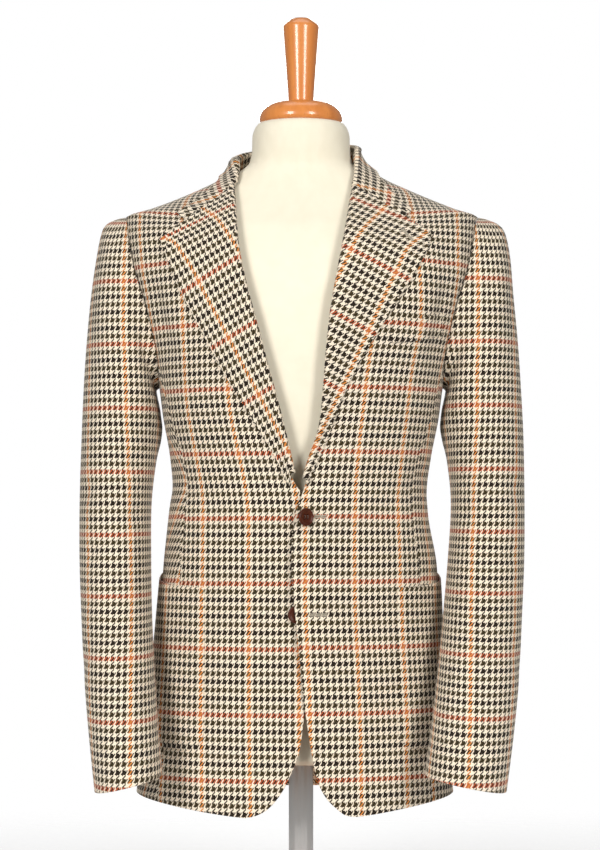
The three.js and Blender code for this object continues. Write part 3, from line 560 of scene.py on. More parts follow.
def hem_height(angle, level):
    """The height of a level that the hem's rise bends upwards at the sides and back."""
    sideways = np.abs(np.cos(angle)) ** 3
    behind = HEM_RISE["back"] + HEM_RISE["back_side"] * sideways
    rise = np.where(np.sin(angle) < 0, HEM_RISE["front"] * sideways, behind)
    return level + rise * np.clip((HEM_RISE["fade_z"] - level) / (HEM_RISE["fade_z"] - HEM_Z), 0, 1)


def face_point(x, z, face):
    """Points of the body surface at places of the front or back view."""
    s = body_at(z)
    q = np.clip(np.abs(x - s.shift) / s.half, 0, 1)
    depth = s.front if face < 0 else s.back
    y = s.mid + face * depth * (1 - q ** s.square) ** (1 / s.square)
    return np.stack([s.shift + np.sign(x - s.shift) * q * s.half, y, z + 0 * y], axis=-1)


def angle_at_x(x, z, face):
    s = body_at(z)
    p = face_point(x, z, face)
    return np.arctan2(p[..., 1] - s.mid, p[..., 0] - s.shift)


def angle_at_y(y, z, side):
    s = body_at(z)
    depth = np.where(y < s.mid, s.front, s.back)
    q = np.clip(np.abs(y - s.mid) / depth, 0, 1)
    angle = np.arctan2(y - s.mid, s.half * (1 - q ** s.square) ** (1 / s.square))
    return angle if side > 0 else math.pi - angle


def troughs(p, folds):
    """Depth of soft folds at points. A tapered one fades to both ends."""
    total = np.zeros(p.shape[:-1])
    for fold in folds:
        line = fold.end - fold.start
        along = np.clip((p - fold.start) @ line / (line @ line), 0, 1)
        away = np.linalg.norm(p - fold.start - along[..., None] * line, axis=-1)
        fade = (4 * along * (1 - along)) ** 0.7 if fold.tapered else 1
        total += fade * fold.depth * np.exp(-((away / fold.width) ** 2))
    return total


def fold_line(start, end, width, depth, tapered):
    return SimpleNamespace(start=start, end=end, width=width, depth=depth, tapered=tapered)


def body_folds():
    """All folds of the body: the large ones of the solids on both sides, then the fine ones."""
    folds = []
    for x1, z1, x2, z2, face, width, depth in zip(*BODY_FOLDS.values()):
        for side in (1, -1):
            ends = face_point(side * x1, z1, face), face_point(side * x2, z2, face)
            folds.append(fold_line(*ends, width, depth, False))
    for x1, z1, x2, z2, face, width, depth in zip(*BODY_CREASES.values()):
        folds.append(fold_line(face_point(x1, z1, face), face_point(x2, z2, face), width, depth, True))
    return folds


FOLDS = body_folds()


def front_edge(lower, lapel, side, neck_x):
    """A front's inner edge: its front edge below the button, then a set distance behind the roll line."""
    z = np.concatenate([lower["z"], lapel["roll_z"], [NECKLINE_Z]])
    x = np.concatenate([lower["x"], lapel["roll_x"] + side * ROLL_SETBACK, [neck_x]])
    return track(z, x)


left_edge_x = front_edge(LEFT_FRONT_EDGE, LEFT_LAPEL, 1, NECK_EDGE["left"])
right_edge_x = front_edge(RIGHT_FRONT_EDGE, RIGHT_LAPEL, -1, NECK_EDGE["right"])
left_lift = track(LEFT_LIFT["z"], LEFT_LIFT["lift"])


def overlap_lift(p):
    """How far the left front stands off the right one where the two lie on each other."""
    away = p[..., 0] - left_edge_x(p[..., 2])
    return left_lift(p[..., 2]) * (1 - smooth(away, OVERLAP_FADE["from"], OVERLAP_FADE["to"]))


def no_lift(p):
    return 0 * p[..., 0]


def armhole_place(step):
    """Side view place of the armhole, from the shoulder point over the front to the underarm."""
    turn = step / ARMHOLE_STEPS * TAU
    power = 2 / ARMHOLE_SQUARE
    half_height = (SHOULDER_Z - ARMHOLE_BOTTOM_Z) / 2
    z = ARMHOLE_BOTTOM_Z + half_height * (1 + signed_power(np.cos(turn), power))
    reach = np.abs(np.sin(turn)) ** power
    y = np.where(np.sin(turn) > 0, -ARMHOLE_FRONT, ARMHOLE_BACK) * reach
    return y + body_at(z).mid, z


def seam_track(step, name):
    top_y, top_z = armhole_place(step)
    return track(np.append(SIDE_SEAMS["z"], top_z), np.append(SIDE_SEAMS[name], top_y))


front_seam_y = seam_track(FRONT_SEAM_STEP, "front")
back_seam_y = seam_track(BACK_SEAM_STEP, "back")
SEAM_TOP_Z = float(armhole_place(FRONT_SEAM_STEP)[1])


def edged(count, length, start=True, end=True):
    """Shares from 0 to 1, with close steps near the ends for a rounded edge."""
    near = np.array(EDGE_STEPS) / length
    inner = np.linspace(near[-1] if start else 0, 1 - near[-1] if end else 1, count)
    head = near[:-1] if start else []
    tail = 1 - near[:-1][::-1] if end else []
    return np.concatenate([head, inner, tail])


def edge_shares(count):
    shares = np.ones(count)
    shares[:len(EDGE_SHARES)] = EDGE_SHARES
    shares[-len(EDGE_SHARES):] = EDGE_SHARES[::-1]
    return shares


# Flat coordinates on the body's surface: girth from centre front, and length along the meridians.
ANGLES = np.linspace(-1.5 * math.pi, 1.5 * math.pi, 601)
HEIGHTS = np.linspace(100, 900, 201)
SURFACE = body_point(ANGLES[None, :], HEIGHTS[:, None])
GRAIN_Z = 440


def running(points, axis, zero):
    """Running length along an axis of a grid of points, counted from one of its lines."""
    steps = np.linalg.norm(np.diff(points, axis=axis), axis=-1)
    shape = list(points.shape[:-1])
    shape[axis] = 1
    length = np.concatenate([np.zeros(shape), np.cumsum(steps, axis=axis)], axis=axis)
    return length - np.take(length, [zero], axis=axis)


GIRTH = running(SURFACE, 1, int(np.argmin(np.abs(ANGLES + math.pi / 2))))
MERIDIAN = running(SURFACE, 0, int(np.argmin(np.abs(HEIGHTS - GRAIN_Z))))


def read_grid(grid, angle, z):
    """Bilinear reading of a grid of angles and heights."""
    i = np.clip((z - HEIGHTS[0]) / (HEIGHTS[1] - HEIGHTS[0]), 0, len(HEIGHTS) - 1.001)
    j = np.clip((angle - ANGLES[0]) / (ANGLES[1] - ANGLES[0]), 0, len(ANGLES) - 1.001)
    i0, j0 = i.astype(int), j.astype(int)
    low = mix(grid[i0, j0], grid[i0, j0 + 1], j - j0)
    high = mix(grid[i0 + 1, j0], grid[i0 + 1, j0 + 1], j - j0)
    return mix(low, high, i - i0)


def flat_place(angle, z):
    """Girth and meridian length of places, for the grain of the cloth."""
    return np.stack([read_grid(GIRTH, angle, z), GRAIN_Z + read_grid(MERIDIAN, angle, z)], axis=-1)


def half_check(thread):
    return thread * CHECK_THREADS / 4


def front_grain(side, angle, z):
    """Grain of a front: across from its reference line, and up from a rust line."""
    table, word = (LEFT_GRAIN, "left") if side > 0 else (RIGHT_GRAIN, "right")
    reference = angle_at_x(track(table["z"], table["x"])(z), z, -1)
    girth = read_grid(GIRTH, angle, z) - read_grid(GIRTH, reference, z)
    up = GRAIN_Z + read_grid(MERIDIAN, angle, z) - RUST_LINE[word]
    return np.stack([girth + half_check(WARP_THREAD), up + half_check(WEFT_THREAD)], axis=-1)


def back_grain(angle, z):
    """Grain of the backs: the middle of a window at centre back."""
    middle = read_grid(GIRTH, angle_at_x(body_at(z).shift, z, 1), z)
    across = read_grid(GIRTH, angle, z) - middle
    up = GRAIN_Z + read_grid(MERIDIAN, angle, z) - RUST_LINE["left"]
    return np.stack([across + WARP_THREAD * CHECK_THREADS * WINDOW_CHECKS / 2, up], axis=-1)


def new_object(name, vertices, faces, uv, material, slot):
    """A smooth mesh in metres, with its grain map, that rides on the one body."""
    mesh = bpy.data.meshes.new(name)
    mesh.from_pydata((np.asarray(vertices) * MM).tolist(), [], faces)
    if uv is not None:
        layer = mesh.uv_layers.new(name="grain")
        corner = np.empty(len(mesh.loops), dtype=np.int64)
        mesh.loops.foreach_get("vertex_index", corner)
        layer.data.foreach_set("uv", (np.asarray(uv)[corner] * MM).ravel())
    mesh.polygons.foreach_set("use_smooth", np.ones(len(mesh.polygons), dtype=bool))
    mesh.materials.append(material)
    mesh.update()
    obj = bpy.data.objects.new(name, mesh)
    bpy.context.scene.collection.objects.link(obj)
    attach(obj, "root")
    return obj


def shell(name, base, normal, top, bottom, uv, material):
    """A closed wall of cloth between two heights over a grid of points, with rounded edges."""
    down, across = base.shape[:2]
    share = edge_shares(down)[:, None] * edge_shares(across)[None, :]
    middle = (top + bottom) / 2 + 0 * share
    half = (top - bottom) / 2 * share
    outer = base + normal * (middle + half)[..., None]
    inner = base + normal * (middle - half)[..., None]
    outer_id = np.arange(down * across).reshape(down, across)
    inner_id = outer_id.copy()
    inner_id[1:-1, 1:-1] = down * across + np.arange((down - 2) * (across - 2)).reshape(down - 2, across - 2)

    def quads(ids):
        return np.stack([ids[:-1, :-1], ids[:-1, 1:], ids[1:, 1:], ids[1:, :-1]], axis=-1).reshape(-1, 4)

    out, back = quads(outer_id), quads(inner_id)[:, ::-1]
    across_way = outer[down // 2, across // 2 + 1] - outer[down // 2, across // 2]
    down_way = outer[down // 2 + 1, across // 2] - outer[down // 2, across // 2]
    if np.cross(across_way, down_way) @ normal[down // 2, across // 2] < 0:
        out, back = out[:, ::-1], back[:, ::-1]
    vertices = np.concatenate([outer.reshape(-1, 3), inner[1:-1, 1:-1].reshape(-1, 3)])
    maps = np.concatenate([uv.reshape(-1, 2), uv[1:-1, 1:-1].reshape(-1, 2)])
    obj = new_object(name, vertices, np.concatenate([out, back]).tolist(), maps, material, "cloth")
    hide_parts(name.removesuffix("_cloth"))
    return SimpleNamespace(obj=obj, outer=outer, normal=normal)


def body_rows():
    """Levels of a front or back: skirt and waist, armhole steps, shoulder slope, with the armhole's steps."""
    near = HEM_Z + np.array(HEM_STEPS)
    low = np.concatenate([near, np.arange(near[-1] + ROW_STEP, SEAM_TOP_Z - 2, ROW_STEP)])
    steps = np.arange(FRONT_SEAM_STEP, -0.01, -0.25)
    high = NECKLINE_Z - 0.5 * SEAM_GAP - (NECKLINE_Z - SHOULDER_Z - 3) * (1 - edged(20, 57, start=False))
    z = np.concatenate([low, armhole_place(steps)[1], high])
    step = np.concatenate([np.full(len(low), np.inf), steps, np.full(len(high), -1.0)])
    return z, step


def outer_angle(z, step, side, face):
    """Outer boundary of a front or back: side seam, armhole, shoulder seam."""
    half_gap = face * SEAM_GAP / 2
    seam = (front_seam_y if face < 0 else back_seam_y)(z) + half_gap
    inside = np.clip(step, 0, FRONT_SEAM_STEP)
    hole = armhole_place(inside if face < 0 else ARMHOLE_STEPS - inside)[0]
    y = np.where(step >= FRONT_SEAM_STEP, seam, np.where(step > 0, hole, body_at(z).mid + half_gap))
    angle = angle_at_y(y, z, side)
    return np.where((side < 0) & (face < 0) & (angle > 0), angle - TAU, angle)


def panel(name, side, face, inner_angle, lift, grain, material):
    """A front or back, all its levels from hem to neck."""
    z, step = body_rows()
    edge = outer_angle(z, step, side, face)
    share = edged(**PANEL_ACROSS)
    angle = mix(edge[:, None], inner_angle(z)[:, None], share[None, :])
    height = hem_height(angle, z[:, None])
    p = body_point(angle, height)
    top = lift(p) - troughs(p, FOLDS)
    return shell(name, p, outward(p), top, top - BODY_CLOTH, grain(angle, height), material)


def front(side, word, material):
    edge_x = left_edge_x if side > 0 else right_edge_x

    def inner_angle(z):
        angle = angle_at_x(edge_x(z), z, -1)
        return np.where((side < 0) & (angle > 0), angle - TAU, angle)

    lift = overlap_lift if side > 0 else no_lift
    return panel(f"front_{word}_cloth", side, -1, inner_angle, lift,
                 lambda angle, z: front_grain(side, angle, z), material)


def back(side, word, material):
    def inner_angle(z):
        return angle_at_x(body_at(z).shift + side * SEAM_GAP / 2, z, 1)

    return panel(f"back_{word}_cloth", side, 1, inner_angle, no_lift, back_grain, material)


def side_body(side, word, material):
    """Side panel: its top edge is the lowest stretch of the armhole."""
    share = edged(**SIDE_ACROSS)[None, :]
    step = FRONT_SEAM_STEP + share * (BACK_SEAM_STEP - FRONT_SEAM_STEP)
    top_y, top_z = armhole_place(step)
    z = body_rows()[0]
    level = np.concatenate([z[z < SEAM_TOP_Z - 2], SEAM_TOP_Z - np.array(EDGE_STEPS)[::-1]])[:, None]
    ends = front_seam_y(level) + SEAM_GAP / 2, back_seam_y(level) - SEAM_GAP / 2
    first, last = armhole_place(FRONT_SEAM_STEP)[0], armhole_place(BACK_SEAM_STEP)[0]
    place = mix(share, (top_y - first) / (last - first), smooth(level, WAIST_Z, SEAM_TOP_Z))
    low = level - (SEAM_TOP_Z - top_z) * smooth(level, SIDE_DROP_Z, SEAM_TOP_Z)
    angle = angle_at_y(mix(*ends, place), low, side)
    angle = np.where((side < 0) & (angle < 0), angle + TAU, angle)
    height = hem_height(angle, low)
    p = body_point(angle, height)
    top = -troughs(p, FOLDS)
    grain = flat_place(angle, height) - np.array([0, RUST_LINE[word]])
    return shell(f"side_{word}_cloth", p, outward(p), top, top - BODY_CLOTH, grain, material)


def spline(points, at):
    """Catmull-Rom curve through points along the first axis, at fractional positions."""
    ends = 2 * points[:1] - points[1:2], 2 * points[-1:] - points[-2:-1]
    padded = np.concatenate([ends[0], points, ends[1]])
    i = np.clip(np.floor(at).astype(int), 0, len(points) - 2)
    t = (at - i).reshape(-1, *[1] * (points.ndim - 1))
    p0, p1, p2, p3 = (padded[i + k] for k in range(4))
    m1, m2 = (p2 - p0) / 2, (p3 - p1) / 2
    cubic = (2 * p1 - 2 * p2 + m1 + m2) * t ** 3
    return cubic + (3 * p2 - 3 * p1 - 2 * m1 - m2) * t ** 2 + m1 * t + p1


def sleeve_points(side, step, ring):
    """Points of a sleeve at steps round the arm and fractional rings down it."""
    step = np.atleast_1d(np.asarray(step, float))
    y, z = armhole_place(step)
    middle_z = (SHOULDER_Z + ARMHOLE_BOTTOM_Z) / 2
    inward = np.stack([0 * y, body_at(middle_z).mid - y, middle_z - z], axis=-1)
    p = body_point(angle_at_y(y, z, side), z)
    start = p + outward(p) * REST_GAP + unit(inward) * SLEEVE_LOOP_INSET
    turn = step / ARMHOLE_STEPS * TAU
    s = {name: column[:, None] for name, column in SLEEVE.items()}
    c = signed_power(np.cos(turn), 2 / s["square"])
    d = signed_power(np.sin(turn), 2 / s["square"])
    word = "left" if side > 0 else "right"
    x = mix(s[f"inner_{word}"], s[f"outer_{word}"], (1 + c) / 2)
    ring_z = mix(s["inner_z"], s["outer_z"], (1 + c) / 2) - s["drop"] * d
    rings = np.stack([side * x, s["mid_y"] - s["depth"] * d, ring_z], axis=-1)
    return spline(np.concatenate([start[None], rings]), np.atleast_1d(np.asarray(ring, float)))


def sleeve_folds(side):
    def at(ring, degrees):
        return sleeve_points(side, degrees / 360 * ARMHOLE_STEPS, ring)[0, 0]

    folds = [fold_line(at(r1, a1), at(r2, a2), width, depth, False)
             for r1, a1, r2, a2, width, depth in zip(*SLEEVE_FOLDS.values())]
    for only, r1, a1, r2, a2, width, depth in zip(*SLEEVE_CREASES.values()):
        if only in (0, side):
            folds.append(fold_line(at(r1, a1), at(r2, a2), width, depth, True))
    return folds


# Ring and step of a sleeve from which the length and width of its cloth are counted.
GRAIN_RING = 8
GRAIN_STEP = 6
SLEEVE_COUNT = len(SLEEVE["outer_z"])


def sleeve(name, side, word, first, last, folds, material):
    """Top or under sleeve, between two of the steps round the arm."""
    step = mix(first + SLEEVE_SEAM_INSET, last - SLEEVE_SEAM_INSET, edged(**SLEEVE_ACROSS))
    ring = SLEEVE_COUNT * edged(**SLEEVE_DOWN)
    p = sleeve_points(side, step, ring)
    down, round_arm = SLEEVE_PROBE["ring"], SLEEVE_PROBE["step"]
    ahead = sleeve_points(side, step, np.minimum(ring + down, SLEEVE_COUNT))
    behind = sleeve_points(side, step, np.maximum(ring - down, 0))
    about = sleeve_points(side, step + round_arm, ring) - sleeve_points(side, step - round_arm, ring)
    normal = unit(np.cross(about, ahead - behind)) * side
    head = 1 - smooth(ring, SLEEVE_HEAD["from"], SLEEVE_HEAD["to"])
    crown = np.maximum(np.cos(step / ARMHOLE_STEPS * TAU), 0) ** 2
    top = SLEEVE_CROWN * head[:, None] * crown - troughs(p, folds)
    level = 1 - smooth(ring, UPPER_ARM_FADE["from"], UPPER_ARM_FADE["to"])[:, None]
    across = mix(sleeve_girth(side, word, step, ring), upper_girth(side, word, p, ring), level)
    up = mix(sleeve_length(p, ring), upper_length(side, p), level)
    place = np.array([half_check(WARP_THREAD), half_check(WEFT_THREAD) - RUST_LINE[f"sleeve_{word}"]])
    grain = np.stack([across, up], axis=-1) + place
    return shell(name, p, normal, top, top - SLEEVE_CLOTH, grain, material)


def sleeve_girth(side, word, step, ring):
    """Width of the cloth from the sleeve's line, along the rings."""
    fine = np.linspace(-BACK_SLEEVE_STEP, ARMHOLE_STEPS - BACK_SLEEVE_STEP, 145)
    rings = sleeve_points(side, fine, ring)
    zero = int(np.argmin(np.abs(fine - GRAIN_STEP)))
    length = running(rings, 1, zero)
    girth = np.stack([np.interp(step, fine, line) for line in length])
    out = np.interp(ring, SLEEVE_LINE["ring"], SLEEVE_LINE[word])
    return -side * (girth + (out - np.abs(rings[:, zero, 0]))[:, None])


def upper_girth(side, word, p, ring):
    """Width of the cloth from the sleeve's line at the upper arm, level round it."""
    turn = np.linspace(-math.pi, math.pi, 361)
    oval = np.stack([UPPER_ARM["half_x"] * np.sin(turn), -UPPER_ARM["half_y"] * np.cos(turn)], axis=-1)
    arc = running(oval, 0, 180)
    across = (side * p[..., 0] - UPPER_ARM["x"]) / UPPER_ARM["half_x"]
    angle = np.arctan2(across, (UPPER_ARM["y"] - p[..., 1]) / UPPER_ARM["half_y"])
    out = np.interp(ring, SLEEVE_LINE["ring"], SLEEVE_LINE[word]) - UPPER_ARM["x"]
    return side * (np.interp(angle, turn, arc) - out[:, None])


def sleeve_length(p, ring):
    """Length up a sleeve, level with the floor at its reference ring."""
    nearest = int(np.argmin(np.abs(ring - GRAIN_RING)))
    return p[nearest, :, 2][None, :] - running(p, 0, nearest)


def upper_length(side, p):
    """Length up a sleeve's outer line to the height of a point."""
    line = sleeve_points(side, 0, np.linspace(0, SLEEVE_COUNT, 141))[:, 0]
    nearest = int(GRAIN_RING / SLEEVE_COUNT * 140)
    length = line[nearest, 2] - running(line, 0, nearest)
    return np.interp(p[..., 2], line[::-1, 2], length[::-1])


# Points across a folded piece: hidden under it, round its roll, and over its leaf.
BASE_POINTS = 5
ROLL_POINTS = 17
LEAF_POINTS = 30
ROLL_START = BASE_POINTS - 1
LEAF_START = ROLL_START + ROLL_POINTS


def folded_path(seam, crest, edge, face, lift):
    """Cloth folded back on itself: from a seam, round a roll, and out to an edge on the body."""
    def raised(p, height):
        return p + outward(p) * (height + lift(p))[..., None]

    seam_place = face_point(*np.array(seam, float), face)
    crest_place = face_point(*np.array(crest, float), face)
    normal = outward(crest_place)
    inward = unit(seam_place - crest_place)
    roll_place = crest_place + inward * ROLL_RADIUS
    ends = raised(np.stack([seam_place, roll_place]), np.full(2, -BODY_CLOTH / 2))
    base = mix(ends[0], ends[1], np.linspace(0, 1, BASE_POINTS)[:-1, None])
    centre = ends[1] + normal * ROLL_RADIUS
    bend = np.linspace(0, math.pi, ROLL_POINTS)[:, None]
    roll = centre - ROLL_RADIUS * (normal * np.cos(bend) + inward * np.sin(bend))
    t = edged(LEAF_POINTS, LEAF_LENGTH, start=False)[1:]
    flat = mix(roll_place[[0, 2]], np.array(edge, float), t[:, None])
    top = 2 * ROLL_RADIUS - BODY_CLOTH / 2
    height = mix(LAY_GAP + BODY_CLOTH / 2, top, (1 - t) ** LEAF_CURL)
    leaf = raised(face_point(flat[:, 0], flat[:, 1], face), height)
    return np.concatenate([base, roll, leaf])


def keep_off(p, height):
    """Moves points out until they are at least this far from the body's surface."""
    for _ in range(3):
        normal = outward(p)
        full = fullness(p)
        distance = (full - 1) * PROBE / (fullness(p + normal * PROBE) - full)
        p = p + normal * np.maximum(0, height - distance)[..., None]
    return p


def folded_cloth(name, paths, clearance, length, material, grain_of):
    """A folded piece through its paths, with its grain from a function of its points and stations."""
    at = edged(9 * len(paths), length) * (len(paths) - 1)
    points = spline(np.stack(paths), at)
    points[:, LEAF_START:] = keep_off(points[:, LEAF_START:], clearance + BODY_CLOTH / 2)
    down = np.gradient(points, axis=0)
    along = np.gradient(points, axis=1)
    normal = unit(np.cross(down, along))
    middle = points[len(points) // 2, -8], normal[len(points) // 2, -8]
    if outward(middle[0]) @ middle[1] < 0:
        normal = -normal
    grain = grain_of(points, at)
    return shell(name, points, normal, BODY_CLOTH / 2, -BODY_CLOTH / 2, grain, material)


# Fold line of a folded piece, and the flat cut of the collar: stations along it, rounds of fitting,
# and how much the hidden stand counts in them.
CREST = ROLL_START + ROLL_POINTS // 2
FLAT_STATIONS = 41
FLAT_ROUNDS = 80
STAND_SHARE = 0.05


def flattened(points, columns):
    """Flat cut of a folded strip: its small triangles keep their shape as nearly as they can."""
    stations = np.linspace(0, len(points) - 1, FLAT_STATIONS).astype(int)
    grid = points[stations][:, columns]
    ids = np.arange(grid.shape[0] * grid.shape[1]).reshape(grid.shape[:2])
    a, b, c, d = ids[:-1, :-1], ids[1:, :-1], ids[1:, 1:], ids[:-1, 1:]
    corners = np.concatenate([np.stack([a, b, c], axis=-1), np.stack([a, c, d], axis=-1)]).reshape(-1, 3)
    p = grid.reshape(-1, 3)[corners]
    first, second = p[:, 1] - p[:, 0], p[:, 2] - p[:, 0]
    width = np.linalg.norm(first, axis=-1)
    along = (second * first).sum(axis=-1) / width
    height = np.linalg.norm(np.cross(first, second), axis=-1) / width
    place = np.stack([0 * width, width, along + 1j * height], axis=-1)
    sides = np.roll(place, -1, axis=1) - place
    starts, ends = corners.ravel(), np.roll(corners, -1, axis=1).ravel()
    steps = np.zeros((starts.size, ids.size))
    steps[np.arange(starts.size), ends] = 1
    steps[np.arange(starts.size), starts] = -1
    weight = np.repeat(np.where(corners[:, 0] % grid.shape[1] == 0, STAND_SHARE, 1), 3)
    system = (steps * weight[:, None]).T @ steps
    system[0, 0] += 1
    fit = np.linalg.solve(system, (steps * weight[:, None]).T)
    middle = ids.shape[0] // 2
    centre = grid[:, ids.shape[1] // 2]
    flat = (-running(centre, 0, middle)[:, None] - 1j * running(grid, 1, ids.shape[1] // 2)).ravel()
    for _ in range(FLAT_ROUNDS):
        turn = ((flat[ends] - flat[starts]).reshape(-1, 3) * sides.conj()).sum(axis=1)
        flat = fit @ (sides * (turn / np.abs(turn))[:, None]).ravel()
    flat = flat.reshape(ids.shape)
    fall = flat[middle, -1] - flat[middle, ids.shape[1] // 2]
    flat = (flat - flat[middle, -1]) * (-1j * np.abs(fall) / fall)
    wide = np.stack([np.interp(np.arange(points.shape[1]), columns, row) for row in flat])
    full = np.stack([np.interp(np.arange(len(points)), stations, column) for column in wide.T], axis=1)
    return np.stack([full.real, full.imag], axis=-1)


def lapel(side, table, word, material):
    """Lapel: the threads of its cloth are turned towards its outer edge."""
    lift = overlap_lift if side > 0 else no_lift
    setback = side * (ROLL_SETBACK - LAPEL_SEAM_SETBACK)
    paths = []
    rolls = []
    edges = []
    for roll_x, roll_z, edge_x, edge_z in zip(*table.values()):
        seam = (roll_x + setback, roll_z)
        paths.append(folded_path(seam, (roll_x, roll_z), (edge_x, edge_z), -1, lift))
        rolls.append(chest_place(roll_x, roll_z))
        edges.append(chest_place(edge_x, edge_z))
    rolls, edges = np.stack(rolls), np.stack(edges)
    lines = np.concatenate([rolls, unit(edges - rolls)], axis=-1)
    cut = LAPEL_GRAIN[word]
    turn = math.radians(cut["turn"])
    turned_axes = np.array([[math.cos(turn), -math.sin(turn)], [math.sin(turn), math.cos(turn)]])

    def grain_of(points, at):
        line = spline(lines, at)[:, None]
        flat = line[..., :2] + line[..., 2:] * running(points, 1, CREST)[..., None]
        crossing = chest_place(cut["x"], cut["z"])
        return (flat - crossing) @ turned_axes + np.array([half_check(WARP_THREAD), half_check(WEFT_THREAD)])

    return folded_cloth(f"lapel_{word}_cloth", paths, LAY_GAP, LAPEL_LENGTH, material, grain_of)


def chest_place(x, z):
    """Girth and meridian length of a place of the chest."""
    x, z = np.array(x), np.array(z)
    return flat_place(angle_at_x(x, z, -1), z)


def gorge_paths(table, side):
    """The collar's front end runs along the lapel's top edge to the notch, then to its own corner."""
    top = {name: column[-1] for name, column in table.items()}
    notch = (mix(top["roll_x"], top["edge_x"], GORGE_SHARE),
             mix(top["roll_z"], top["edge_z"], GORGE_SHARE) + GORGE_RISE)
    corner = (notch[0] + side * COLLAR_CORNER["x"], notch[1] + COLLAR_CORNER["z"])
    setback = side * (ROLL_SETBACK - LAPEL_SEAM_SETBACK)
    paths = []
    for rise, edge in ((0, notch), (GORGE_STEP, corner)):
        z = top["roll_z"] + GORGE_RISE + rise
        seam, crest = (top["roll_x"] + setback, z), (top["roll_x"] + side * rise * GORGE_SLANT, z)
        paths.append(folded_path(seam, crest, edge, -1, no_lift))
    return paths


def collar(material):
    """The collar in one piece, from the notch of one lapel round the neck to that of the other."""
    def paths(side):
        found = []
        for seam_x, seam_z, crest_x, crest_z, edge_x, edge_z, face, sway, lean in zip(*COLLAR.values()):
            seam = (side * seam_x + sway, seam_z)
            crest = (side * crest_x + sway, crest_z + lean * side * crest_x)
            edge = (side * edge_x + sway, edge_z + lean * side * edge_x)
            found.append(folded_path(seam, crest, edge, face, no_lift))
        return found

    def grain_of(points, at):
        last = points.shape[1] - 1
        roll = np.arange(ROLL_START + 4, LEAF_START, 4)
        leaf = np.arange(LEAF_START + 2, last - 2, 4)
        half_window = WARP_THREAD * CHECK_THREADS * WINDOW_CHECKS / 2
        up = half_check(WEFT_THREAD) - COLLAR_RUST_INSET
        return flattened(points, np.concatenate([[0, ROLL_START], roll, leaf, [last]])) + (half_window, up)

    right = gorge_paths(RIGHT_LAPEL, -1) + paths(-1)
    left = gorge_paths(LEFT_LAPEL, 1) + paths(1)[:-1]
    found = right + left[::-1]
    return folded_cloth("collar_cloth", found, COLLAR_LAY_GAP, COLLAR_LENGTH, material, grain_of)


def hip_pocket(side, word, material):
    """Patch pocket of the hip, sewn down at its sides and bottom and open at its mouth."""
    share = edged(POCKET_COLUMNS, HIP_POCKET["width"])[None, :]
    up = edged(**POCKET_UP)[:, None]
    inset = np.minimum(share, 1 - share) * HIP_POCKET["width"]
    corner = HIP_POCKET["corner"]
    rounding = corner - np.sqrt(corner ** 2 - np.maximum(0, corner - inset) ** 2)
    mouth = HIP_POCKET["top_z"] + HIP_POCKET["mouth_rise"] * share ** 2
    z = mix(HIP_POCKET["bottom_z"] + rounding, mouth, up)
    edge = HIP_POCKET["back_angle"] if side > 0 else -math.pi - HIP_POCKET["back_angle"]
    angle = mix(angle_at_x(side * HIP_POCKET["front_x"], z, -1), edge, share)
    height = hem_height(angle, z)
    p = body_point(angle, height)
    swell = (np.sin(math.pi * np.minimum(1, share * HIP_POCKET["belly_across"]))
             * np.sin(math.pi * (HIP_POCKET["belly_low"] + HIP_POCKET["belly_span"] * up)))
    lift = overlap_lift(p) if side > 0 else 0
    border = HIP_POCKET["sewn_border"]
    sewn = np.minimum(smooth(inset, 0, border), smooth(up * HIP_POCKET["height"], 0, border))
    top = lift + HIP_POCKET["belly"] * np.maximum(0, swell) * sewn - troughs(p, FOLDS)
    top += LAY_GAP * mix(HIP_POCKET["sewn_gap"], 1, sewn) + POCKET_CLOTH
    return shell(f"hip_pocket_{word}_cloth", p, outward(p), top, top - POCKET_CLOTH,
                 front_grain(side, angle, height), material)


def breast_pocket(material):
    """Breast pocket's welt, a curved strip that lies on the left front."""
    share = edged(**WELT_ACROSS)[None, :]
    x = mix(WELT["x"][0], WELT["x"][-1], share)
    z = track(WELT["x"], WELT["top"])(x) - WELT_HEIGHT * (1 - edged(**WELT_UP)[:, None])
    angle = angle_at_x(x, z, -1)
    p = body_point(angle, z)
    top = LAY_GAP + POCKET_CLOTH - troughs(p, FOLDS)
    return shell("breast_pocket_cloth", p, outward(p), top, top - POCKET_CLOTH,
                 front_grain(1, angle, z), material)


def grid_faces(down, across, closed):
    """Quads of a grid whose lines close round, or don't."""
    ids = np.arange(down * across).reshape(down, across)
    if closed:
        ids = np.concatenate([ids, ids[:, :1]], axis=1)
    return np.stack([ids[:-1, :-1], ids[:-1, 1:], ids[1:, 1:], ids[1:, :-1]], axis=-1).reshape(-1, 4).tolist()


def closed(name, points, ends, maps, end_maps, material, slot):
    """A shape of rings of points that is closed round, with a middle point at each end."""
    down, around = points.shape[:2]
    count = down * around
    faces = grid_faces(down, around, True)
    for j in range(around):
        following = (j + 1) % around
        faces.append([count, following, j])
        faces.append([count + 1, count - around + j, count - around + following])
    vertices = np.concatenate([points.reshape(-1, 3), ends])
    obj = new_object(name, vertices, faces, np.concatenate([maps.reshape(-1, 2), end_maps]), material, slot)
    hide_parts(name.rsplit("_", 1)[0])


